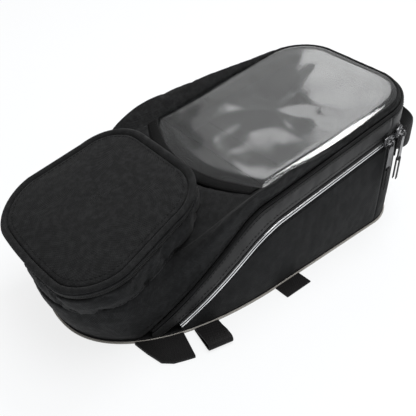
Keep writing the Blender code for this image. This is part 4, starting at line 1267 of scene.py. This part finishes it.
class TANKBAG_OT_main_zip(Operator):
    """Lay the main zip's tapes and string its coil"""
    bl_idname = "tank_bag.main_zip"
    bl_label = "Main Zip"

    def execute(self, context):
        columns = round_columns(panel_low_x())
        wall = outline(WALL_INSET)
        face = outline(WALL_INSET + COIL_INSET)
        parts = (("main_zip_lower", "shell", -ZIP_HALF - TAPE_LAP, -TAPE_GAP, -COIL_OFFSET),
                 ("main_zip_upper", "lid", TAPE_GAP, ZIP_HALF + TAPE_LAP, COIL_OFFSET))
        for node, body, low, high, chain in parts:
            rows = wall_rows(columns, WALL_INSET + TAPE_INSET, lambda x: line_height(x, ZIP_LINE) + low,
                             lambda x: line_height(x, ZIP_LINE) + high, TAPE_STEPS, 0.0)
            piece = thicken(skin(node + "_tape", rows, "zip_tape"), TAPE_THICK)
            levels = [line_height(column_at(wall, position).x, ZIP_LINE) + chain for position in columns]
            path = [Vector((*column_at(face, position), level)) for position, level in zip(columns, levels)]
            coil = zip_coil(node, path, False)
            finish_sewn(piece, body, "zip", node)
            finish_sewn(coil, body, "zip")
        return {"FINISHED"}


class TANKBAG_OT_band(Operator):
    """Sew the smooth band of the lid and the binding over its seam"""
    bl_idname = "tank_bag.band"
    bl_label = "Lid Band"

    def execute(self, context):
        def bottom(x):
            return max(SEAT, line_height(x, ZIP_LINE) + ZIP_HALF + BAND_GAP)

        def top(x):
            seam = line_height(x, SEAM_LINE) - 2.0 * BINDING_RADIUS - BINDING_GAP
            return max(bottom(x) + LEAST_HEIGHT, seam)

        low_x = band_low_x()
        for node, columns in panel_columns(("lid_band_right", "lid_band_left", "lid_band_end"), low_x):
            rows = wall_rows(columns, WALL_INSET, bottom, top, BAND_STEPS, BAND_BULGE)
            piece = skin(node + "_satin", rows, "band_satin")
            settle(piece, grid_edges(rows), pressure=0.5, slack=0.25, cap=0.0015)
            fold_piece(thicken(piece, context.scene.tank_bag_sizes.cloth_thickness), "satin", node)
            for share in BAND_STITCHES:
                stitch_panel("lid", piece, rows, share, BAND_STITCH_HEIGHT)

        core = outline(SEAM_INSET - BINDING_RADIUS - BINDING_OUT)
        low_ring = outline(WALL_INSET + LINING_LOW_INSET)
        high_ring = outline(SEAM_INSET + LINING_HIGH_INSET)
        path = []
        rows = []
        for position in round_columns(low_x):
            spot = column_at(core, position)
            level = max(SEAT + BINDING_RADIUS, line_height(spot.x, SEAM_LINE) - BINDING_RADIUS)
            path.append(Vector((*spot, level)))
            level = path[-1].z
            low = Vector((*column_at(low_ring, position), max(SEAT, level - LINING_DROP)))
            high = Vector((*column_at(high_ring, position), level + BINDING_RADIUS + LINING_RISE))
            rows.append([low.lerp(high, step / LINING_STEPS) for step in range(LINING_STEPS + 1)])
        piece = tube("seam_binding_tape", round_rings(path, BINDING_RADIUS, 10), "binding_tape")
        fold_piece(piece, "binding", "seam_binding")
        fold_piece(thicken(skin("seam_lining_tape", rows, "lining_cloth"), LINING_THICK), "lining")
        return {"FINISHED"}


class TANKBAG_OT_rim(Operator):
    """Roll the padded rim of the lid and let it settle"""
    bl_idname = "tank_bag.rim"
    bl_label = "Padded Rim"

    def execute(self, context):
        width = RIM_STEPS + HEM_STEPS + 1
        rows = []
        held = []
        for index, (foot, crown) in enumerate(zip(outline(SEAM_INSET), outline(CROWN_INSET, eased_half))):
            low = max(SEAT, line_height(foot.x, SEAM_LINE))
            rise = line_height(crown.x, CROWN_LINE) - low
            along = foot.x - WIDEST_X
            inwards = (crown - foot).normalized()
            foot -= inwards * FOOT_PUSH * fade(-along, *FOOT_RANGE)
            span = (crown - foot).length
            shoulder = SHOULDER_LIFT * fade(along, *SHOULDER_START)
            lift = shoulder * fade(along, *SHOULDER_END)
            if foot.y > 0.0:
                lift = max(lift, shoulder * fade(along, *FAR_SHOULDER_END) * fade(foot.y, *FAR_SIDE))
            nose = fade(-along, *NOSE_RANGE)
            push = lift * SHOULDER_PUSH + NOSE_PUSH * nose
            lift += NOSE_LIFT * nose
            row = []
            for step in range(RIM_STEPS + 1):
                turn = math.pi / 2.0 * step / RIM_STEPS
                swell = math.sin(2.0 * turn)
                spot = foot + inwards * (span * (1.0 - math.cos(turn)) - push * swell)
                level = low + rise * math.sin(turn) + lift * swell
                clear = SIDE_CLEAR * fade(abs(spot.y), *SIDE_CLEAR_RANGE)
                clear += HIGH_CLEAR * fade(spot.x, POCKET_FOOT[1], HIGH_CLEAR_END)
                ceiling = pocket_foot_height(spot.x) + CEILING_GAP + clear
                if level > ceiling:
                    held.append(index * width + step)
                level = lower_of(level, ceiling, CEILING_BLEND + NOSE_BLEND * nose)
                bump = ripple(Vector((*spot, level)), size=0.028, depth=0.0013)
                level += bump * fade(-along, *RIPPLE_RANGE) * swell
                dent = crease(Vector((*spot, 0.6 * level)), size=0.022, depth=0.0022)
                spot -= inwards * dent * fade(-along, *CREASE_RANGE) * swell
                row.append(Vector((*spot, level)))
            flat = fade(crown.x, *HEM_FLAT_RANGE)
            for step in range(1, HEM_STEPS + 1):
                share = step / HEM_STEPS
                spot = crown + inwards * (HEM_WIDTH + HEM_FLAT_WIDTH * flat) * share
                fall = (1.0 - flat) * HEM_FALL * share + flat * (HEM_FLAT_FALL * share - HEM_FLAT_RISE)
                row.append(Vector((*spot, line_height(spot.x, CROWN_LINE) - fall)))
            rows.append(row)
        piece = skin("padded_rim", rows, "pocket_cloth", closed=True)
        sewn = held + grid_parts(rows, [0, *range(RIM_STEPS - 2, width)])
        settle(piece, sewn, pressure=0.5, slack=0.5, cap=0.003)
        fold_piece(thicken(piece, context.scene.tank_bag_sizes.cloth_thickness), "fabric", "lid_rim")
        line = [row[1] for row in rows if row[0].z > SEAT + RIM_STITCH_LEVEL]
        first = next(index for index, row in enumerate(rows) if row[0].z <= SEAT + RIM_STITCH_LEVEL)
        stitch_line("lid", piece, line[first:] + line[:first])
        return {"FINISHED"}


class TANKBAG_OT_lid_panel(Operator):
    """Lay the sloping lid panel under the pocket and the trim along the window"""
    bl_idname = "tank_bag.lid_panel"
    bl_label = "Lid Panel and Window Trim"

    def execute(self, context):
        reach = HALF_WIDTH - CROWN_INSET - LID_PANEL_SIDE_GAP
        rows = []
        trim = []
        for step in range(LID_PANEL_COLUMNS + 1):
            y = reach * (2.0 * step / LID_PANEL_COLUMNS - 1.0)
            low = low_edge_x(y, CROWN_INSET + LID_PANEL_LOW_GAP)
            high = window_low_x(y) - TRIM_WIDTH - LID_PANEL_HIGH_GAP
            row = []
            for part in range(LID_PANEL_STEPS + 1):
                x = low + (high - low) * part / LID_PANEL_STEPS
                lift = ripple(Vector((x, y, 0.0)), size=0.02, depth=0.0004)
                row.append(Vector((x, y, line_height(x, CROWN_LINE) + lift)))
            rows.append(row)
            row = []
            for part in range(TRIM_STEPS + 1):
                share = part / TRIM_STEPS
                x = window_low_x(y) - TRIM_WIDTH * (1.0 - share) + TRIM_LAP * share
                rise = TRIM_RISE + TRIM_SWELL * math.sin(math.pi * share) ** 0.6
                row.append(Vector((x, y, line_height(x, CROWN_LINE) + rise)))
            trim.append(row)
        panel = skin("lid_panel_cloth", rows, "pocket_cloth", flip=True)
        thicken(panel, context.scene.tank_bag_sizes.cloth_thickness)
        finish_piece(panel, "lid", "fabric", "lid_panel")
        piece = thicken(skin("window_trim_tape", trim, "trim_tape", flip=True), TRIM_THICK)
        finish_piece(piece, "lid", "fabric", "window_trim")
        for part in TRIM_STITCHES:
            stitch_line("lid", piece, [row[part] for row in trim])
        return {"FINISHED"}


def window_outline(inset, low_x, half=eased_half):
    """Plan outline of the window, with a low edge given by low_x(y)."""
    limit = half_outline(inset)[CORNER_COLUMN].y
    left = [point for point in half(inset) if point.x > low_x(limit) + WINDOW_LOW_GAP]
    steps = WINDOW_EDGE_STEPS
    spots = [left[-1].y * part / steps for part in range(steps, -steps - 1, -1)]
    low = [Vector((low_x(y), y)) for y in spots]
    return left + low + [Vector((point.x, -point.y)) for point in reversed(left[1:])]


def ring_crossing(ring, middle, point):
    """Where the line from the middle to a point crosses a closed ring."""
    for first, second in zip(ring, ring[1:] + ring[:1]):
        crossing = intersect_line_line_2d(middle, middle.lerp(point, 1.5), first, second)
        if crossing:
            return crossing
    raise RuntimeError("the ring does not close round the window")


class TANKBAG_OT_window(Operator):
    """Stretch the clear film over the window"""
    bl_idname = "tank_bag.window"
    bl_label = "Window Film"

    def execute(self, context):
        rows = []
        for point in window_outline(CROWN_INSET - FILM_LAP, lambda y: window_low_x(y) - TRIM_LAP):
            row = []
            for share in FILM_SHARES:
                spot = WINDOW_MIDDLE.lerp(point, share)
                inside = (point - spot).length
                dome = FILM_DOME * (1.0 - max(0.0, 1.0 - inside / FILM_DOME_REACH) ** 2)
                wave = 0.0
                for noise_level, squeeze, size, depth, reach in FILM_WAVES:
                    place = Vector((spot.x, squeeze * spot.y, noise_level))
                    wave += ripple(place, size, depth) * fade(inside, FILM_WAVE_START, reach)
                row.append(Vector((*spot, film_height(spot.x) + dome - FILM_DROP + wave)))
            rows.append(row)
        piece = skin("clear_window", rows, "clear_film", closed=True)
        close_ring(piece, [row[-1] for row in rows])
        face_up(piece)
        thicken(piece, FILM_THICK)
        finish_piece(piece, "lid", "clear", "window_film")
        return {"FINISHED"}


class TANKBAG_OT_sleeve(Operator):
    """Line the sleeve behind the window and hang its closing flap"""
    bl_idname = "tank_bag.sleeve"
    bl_label = "Window Sleeve"

    def execute(self, context):
        finish_copies((("window_sleeve", "_sewn", "lining_cloth", 0.0005, "lid", "lining"),
                       ("flap_hinge_tape", "_sewn", "lining_cloth", 0.0004, "lid", "lining"),
                       ("loop_strip", "_sewn", "hook_fuzz", 0.0002, "lid", "hook"),
                       ("hook_strip", "_sewn", "hook_fuzz", 0.0002, "sleeve_closure", "hook"),
                       ("sleeve_flap", "_sewn", "lining_cloth", 0.0005, "sleeve_closure", "lining")))
        inner = window_outline(SLEEVE_INSET + FLANGE_INSET, lambda y: SLEEVE_LOW_X + FLANGE_INSET,
                               half_outline)
        rows = []
        for point in window_outline(CROWN_INSET - FLANGE_LAP, lambda y: window_low_x(y) - FLANGE_REACH):
            near = ring_crossing(inner, WINDOW_MIDDLE, point)
            row = []
            for step in range(FLANGE_STEPS + 1):
                spot = point.lerp(near, step / FLANGE_STEPS)
                level = min(film_height(spot.x), line_height(spot.x, CROWN_LINE) + FLANGE_RISE)
                row.append(Vector((*spot, level - FLANGE_DROP)))
            rows.append(row)
        flange = thicken(skin("sleeve_flange_lining", rows, "lining_cloth", closed=True), LINING_THICK)
        finish_piece(flange, "lid", "lining")
        return {"FINISHED"}


def pocket_levels():
    """Levels of the pocket zip's lower edge, its middle and its upper edge."""
    rise = pocket_top_height(POCKET_TOP[0]) - pocket_foot_height(POCKET_FOOT[0])
    tape = ZIP_HALF / rise
    return POCKET_ZIP_LEVEL - tape, POCKET_ZIP_LEVEL, POCKET_ZIP_LEVEL + tape


class TANKBAG_OT_pocket_wall(Operator):
    """Sew the pocket's wall on the lid and let it settle"""
    bl_idname = "tank_bag.pocket_wall"
    bl_label = "Pocket Wall"

    def execute(self, context):
        high, _, _ = pocket_levels()
        lines = [pocket_line(0.0, inset, POCKET_FLOOR_DROP) for inset in POCKET_FLOOR_INSETS]
        lines += [pocket_line(level, inset) for level, inset in POCKET_GUSSET]
        gusset = len(lines)
        centre = Vector(((POCKET_FOOT[0] + POCKET_FOOT[1]) / 2.0, 0.0))
        for step in range(POCKET_WALL_STEPS + 1):
            share = step / POCKET_WALL_STEPS
            line = pocket_line(POCKET_WALL_LEVEL + (high - POCKET_WALL_LEVEL) * share,
                               -POCKET_WALL_BULGE * math.sin(math.pi * share))
            for point in line:
                away = (point.xy - centre).normalized()
                fold = crease(point + Vector((0.0, 0.0, -0.5 * point.z)), size=0.020, depth=0.0020)
                point.xy += away * fold * math.sin(math.pi * step / POCKET_WALL_STEPS) ** 0.5
            lines.append(line)
        rows = ring_rows(lines)
        piece = skin("pocket_wall_cloth", rows, "pocket_cloth", closed=True)
        close_ring(piece, lines[0])
        sewn = grid_parts(rows, [*range(gusset - 1), len(lines) - 1])
        settle(piece, sewn, pressure=1.0, slack=3.0, cap=0.003)
        thicken(piece, context.scene.tank_bag_sizes.cloth_thickness)
        finish_piece(piece, "lid", "fabric", "pocket_wall")
        stitch_line("lid", piece, lines[gusset + 1], True)
        stitch_line("lid", piece, lines[-2], True)
        return {"FINISHED"}


class TANKBAG_OT_pocket_zip(Operator):
    """Lay the pocket zip's tapes and string its coil"""
    bl_idname = "tank_bag.pocket_zip"
    bl_label = "Pocket Zip"

    def execute(self, context):
        low, middle, high = pocket_levels()
        parts = (("pocket_zip_lower", "lid", low - POCKET_TAPE_LAP, middle - POCKET_TAPE_GAP,
                  middle - POCKET_COIL_OFFSET),
                 ("pocket_zip_upper", "pocket_cover", middle + POCKET_TAPE_GAP, high + POCKET_TAPE_LAP,
                  middle + POCKET_COIL_OFFSET))
        for node, body, start, end, chain in parts:
            lines = [pocket_line(start + (end - start) * step / TAPE_STEPS, POCKET_TAPE_INSET)
                     for step in range(TAPE_STEPS + 1)]
            piece = thicken(skin(node + "_tape", ring_rows(lines), "zip_tape", closed=True), TAPE_THICK)
            finish_piece(piece, body, "zip", node)
            finish_piece(zip_coil(node, pocket_line(chain, POCKET_COIL_INSET), True), body, "zip")
        return {"FINISHED"}


class TANKBAG_OT_pocket_cover(Operator):
    """Sew the pocket's rolled rim and padded top panel"""
    bl_idname = "tank_bag.pocket_cover"
    bl_label = "Pocket Cover"

    def execute(self, context):
        _, _, start = pocket_levels()
        section = ((start + COVER_LAP, COVER_LAP_INSET, 0.0), *COVER_SECTION)
        lines = [pocket_line(level, inset, drop) for level, inset, drop in section]
        rim = skin("pocket_rim_cloth", ring_rows(lines), "pocket_cloth", closed=True)
        thicken(rim, COVER_RIM_THICK)
        finish_piece(rim, "pocket_cover", "fabric", "pocket_rim")

        edge = pocket_line(1.0, TOP_PAD_INSET)
        middle = Vector(((POCKET_TOP[0] + POCKET_TOP[1]) / 2.0, 0.0, 0.0))
        middle.z = pocket_top_height(middle.x)
        lines = []
        for share in TOP_PAD_SHARES:
            line = []
            for point in edge:
                spot = middle.lerp(point, share)
                inside = (point - spot).length
                depth = 1.0 - min(1.0, inside / TOP_PAD_GROOVE_WIDTH)
                groove = -TOP_PAD_GROOVE * (1.0 - math.sqrt(1.0 - depth ** 2))
                crown = TOP_PAD_EDGE * fade(inside, 0.0, TOP_PAD_EDGE_WIDTH)
                crown += TOP_PAD_CROWN * (1.0 - share ** 2)
                line.append(spot + Vector((0.0, 0.0, groove + crown)))
            lines.append(line)
        rows = ring_rows(lines)
        piece = skin("pocket_top_pad", rows, "pocket_cloth", closed=True)
        close_ring(piece, lines[-1])
        settle(piece, grid_parts(rows, range(TOP_PAD_SEWN)), pressure=0.5, slack=0.0, cap=0.0015)
        face_up(piece)
        thicken(piece, context.scene.tank_bag_sizes.cloth_thickness)
        finish_piece(piece, "pocket_cover", "fabric", "pocket_top")
        stitch_line("pocket_cover", piece, lines[TOP_PAD_STITCH], True)
        return {"FINISHED"}


class TANKBAG_OT_sliders(Operator):
    """Fit the zip sliders, their pulls and the ribbon tails"""
    bl_idname = "tank_bag.sliders"
    bl_label = "Sliders and Pulls"

    def execute(self, context):
        finish_copies((("zip_slider_side", "_cast", "slider_metal", 0.0004, "side_slider", "metal"),
                       ("zip_slider_end", "_cast", "slider_metal", 0.0004, "end_slider", "metal"),
                       ("pocket_slider", "_cast", "slider_metal", 0.0004, "pocket_zip_slider", "metal"),
                       ("zip_pull_side", "_cast", "slider_metal", 0.0003, "side_pull", "metal"),
                       ("zip_pull_end", "_cast", "slider_metal", 0.0003, "end_pull", "metal"),
                       ("pocket_pull", "_cast", "slider_metal", 0.0003, "pocket_zip_pull", "metal"),
                       ("pull_ribbon_side", "_woven", "webbing", 0.0002, "side_pull", "webbing"),
                       ("pull_ribbon_end", "_woven", "webbing", 0.0002, "end_pull", "webbing")))
        return {"FINISHED"}


class TANKBAG_OT_handle(Operator):
    """Sew the webbing grab handle on the high end"""
    bl_idname = "tank_bag.handle"
    bl_label = "Grab Handle"

    def execute(self, context):
        centre, _ = corner_centre()
        wall = CORNER_RADIUS - WALL_INSET + WEBBING_THICK / 2.0
        path = []
        for step in range(HANDLE_STEPS + 1):
            share = math.sin(math.pi * (step / HANDLE_STEPS - 0.5))
            turn = HANDLE_HALF_TURN * share
            outward = Vector((math.cos(turn), math.sin(turn), 0.0))
            reach = wall + HANDLE_BOW * (1.0 - share ** 6)
            spot = Vector((centre.x, centre.y * share, 0.0)) + reach * outward
            path.append(spot + Vector((0.0, 0.0, HANDLE_FOOT + HANDLE_WIDTH / 2.0)))
        normals = []
        for index in range(len(path)):
            run = path[min(HANDLE_STEPS, index + 1)] - path[max(0, index - 1)]
            normals.append(Vector((run.y, -run.x, 0.0)).normalized())
        rings = webbing_rings(path, normals, Vector((0.0, 0.0, 1.0)), HANDLE_WIDTH, WEBBING_THICK)
        finish_piece(tube("grab_handle_webbing", rings, "webbing"), "shell", "webbing", "grab_handle")
        finish_copies(("handle_patch_" + side, "_webbing", "webbing", 0.0004, "shell", "webbing")
                      for side in ("right", "left"))
        return {"FINISHED"}


class TANKBAG_OT_straps(Operator):
    """Sew the strap loops, the folded strap ends and the plain side tag"""
    bl_idname = "tank_bag.straps"
    bl_label = "Straps and Tag"

    def execute(self, context):
        for side in ("right", "left"):
            finish_copies((("strap_loop_" + side, "_webbing", "webbing", 0.0004, side + "_loop", "webbing"),
                           ("strap_end_" + side, "_webbing", "webbing", 0.0008, "shell", "webbing")))
        finish_copies((("side_tag", "_woven", "webbing", 0.0005, "shell", "webbing"),))
        return {"FINISHED"}


class TANKBAG_OT_stitching(Operator):
    """Sew every noted line of stitching"""
    bl_idname = "tank_bag.stitching"
    bl_label = "Stitching"

    def execute(self, context):
        sizes = context.scene.tank_bag_sizes
        for body, paths in seams.items():
            piece = string_beads(body + "_stitching", paths, sizes.stitch_length + sizes.stitch_gap,
                                 sizes.stitch_length, sizes.thread_radius, "thread")
            finish_sewn(piece, body, "binding")
        return {"FINISHED"}


STEPS = (TANKBAG_OT_stage, TANKBAG_OT_finishes, TANKBAG_OT_base, TANKBAG_OT_walls, TANKBAG_OT_piping,
         TANKBAG_OT_main_zip, TANKBAG_OT_band, TANKBAG_OT_rim, TANKBAG_OT_lid_panel, TANKBAG_OT_window,
         TANKBAG_OT_sleeve, TANKBAG_OT_pocket_wall, TANKBAG_OT_pocket_zip, TANKBAG_OT_pocket_cover,
         TANKBAG_OT_sliders, TANKBAG_OT_handle, TANKBAG_OT_straps, TANKBAG_OT_stitching)


class TANKBAG_PT_builder(Panel):
    """Sidebar panel that lists the sewing steps"""
    bl_idname = "TANKBAG_PT_builder"
    bl_label = "Tank Bag"
    bl_space_type = "VIEW_3D"
    bl_region_type = "UI"
    bl_category = "Tank Bag"

    def draw(self, context):
        layout = self.layout
        for group in (context.scene.tank_bag_sizes, context.scene.tank_bag_colours):
            for key in group.bl_rna.properties.keys():
                if key not in {"rna_type", "name"}:
                    layout.prop(group, key)
        for step in STEPS:
            layout.operator(step.bl_idname)


CLASSES = (TankBagSizes, TankBagColours) + STEPS + (TANKBAG_PT_builder,)


def register():
    for item in CLASSES:
        bpy.utils.register_class(item)
    bpy.types.Scene.tank_bag_sizes = PointerProperty(type=TankBagSizes)
    bpy.types.Scene.tank_bag_colours = PointerProperty(type=TankBagColours)


def unregister():
    del bpy.types.Scene.tank_bag_colours
    del bpy.types.Scene.tank_bag_sizes
    for item in reversed(CLASSES):
        bpy.utils.unregister_class(item)


def main():
    register()
    for step in STEPS:
        group, name = step.bl_idname.split(".")
        getattr(getattr(bpy.ops, group), name)()


if __name__ == "__main__":
    main()
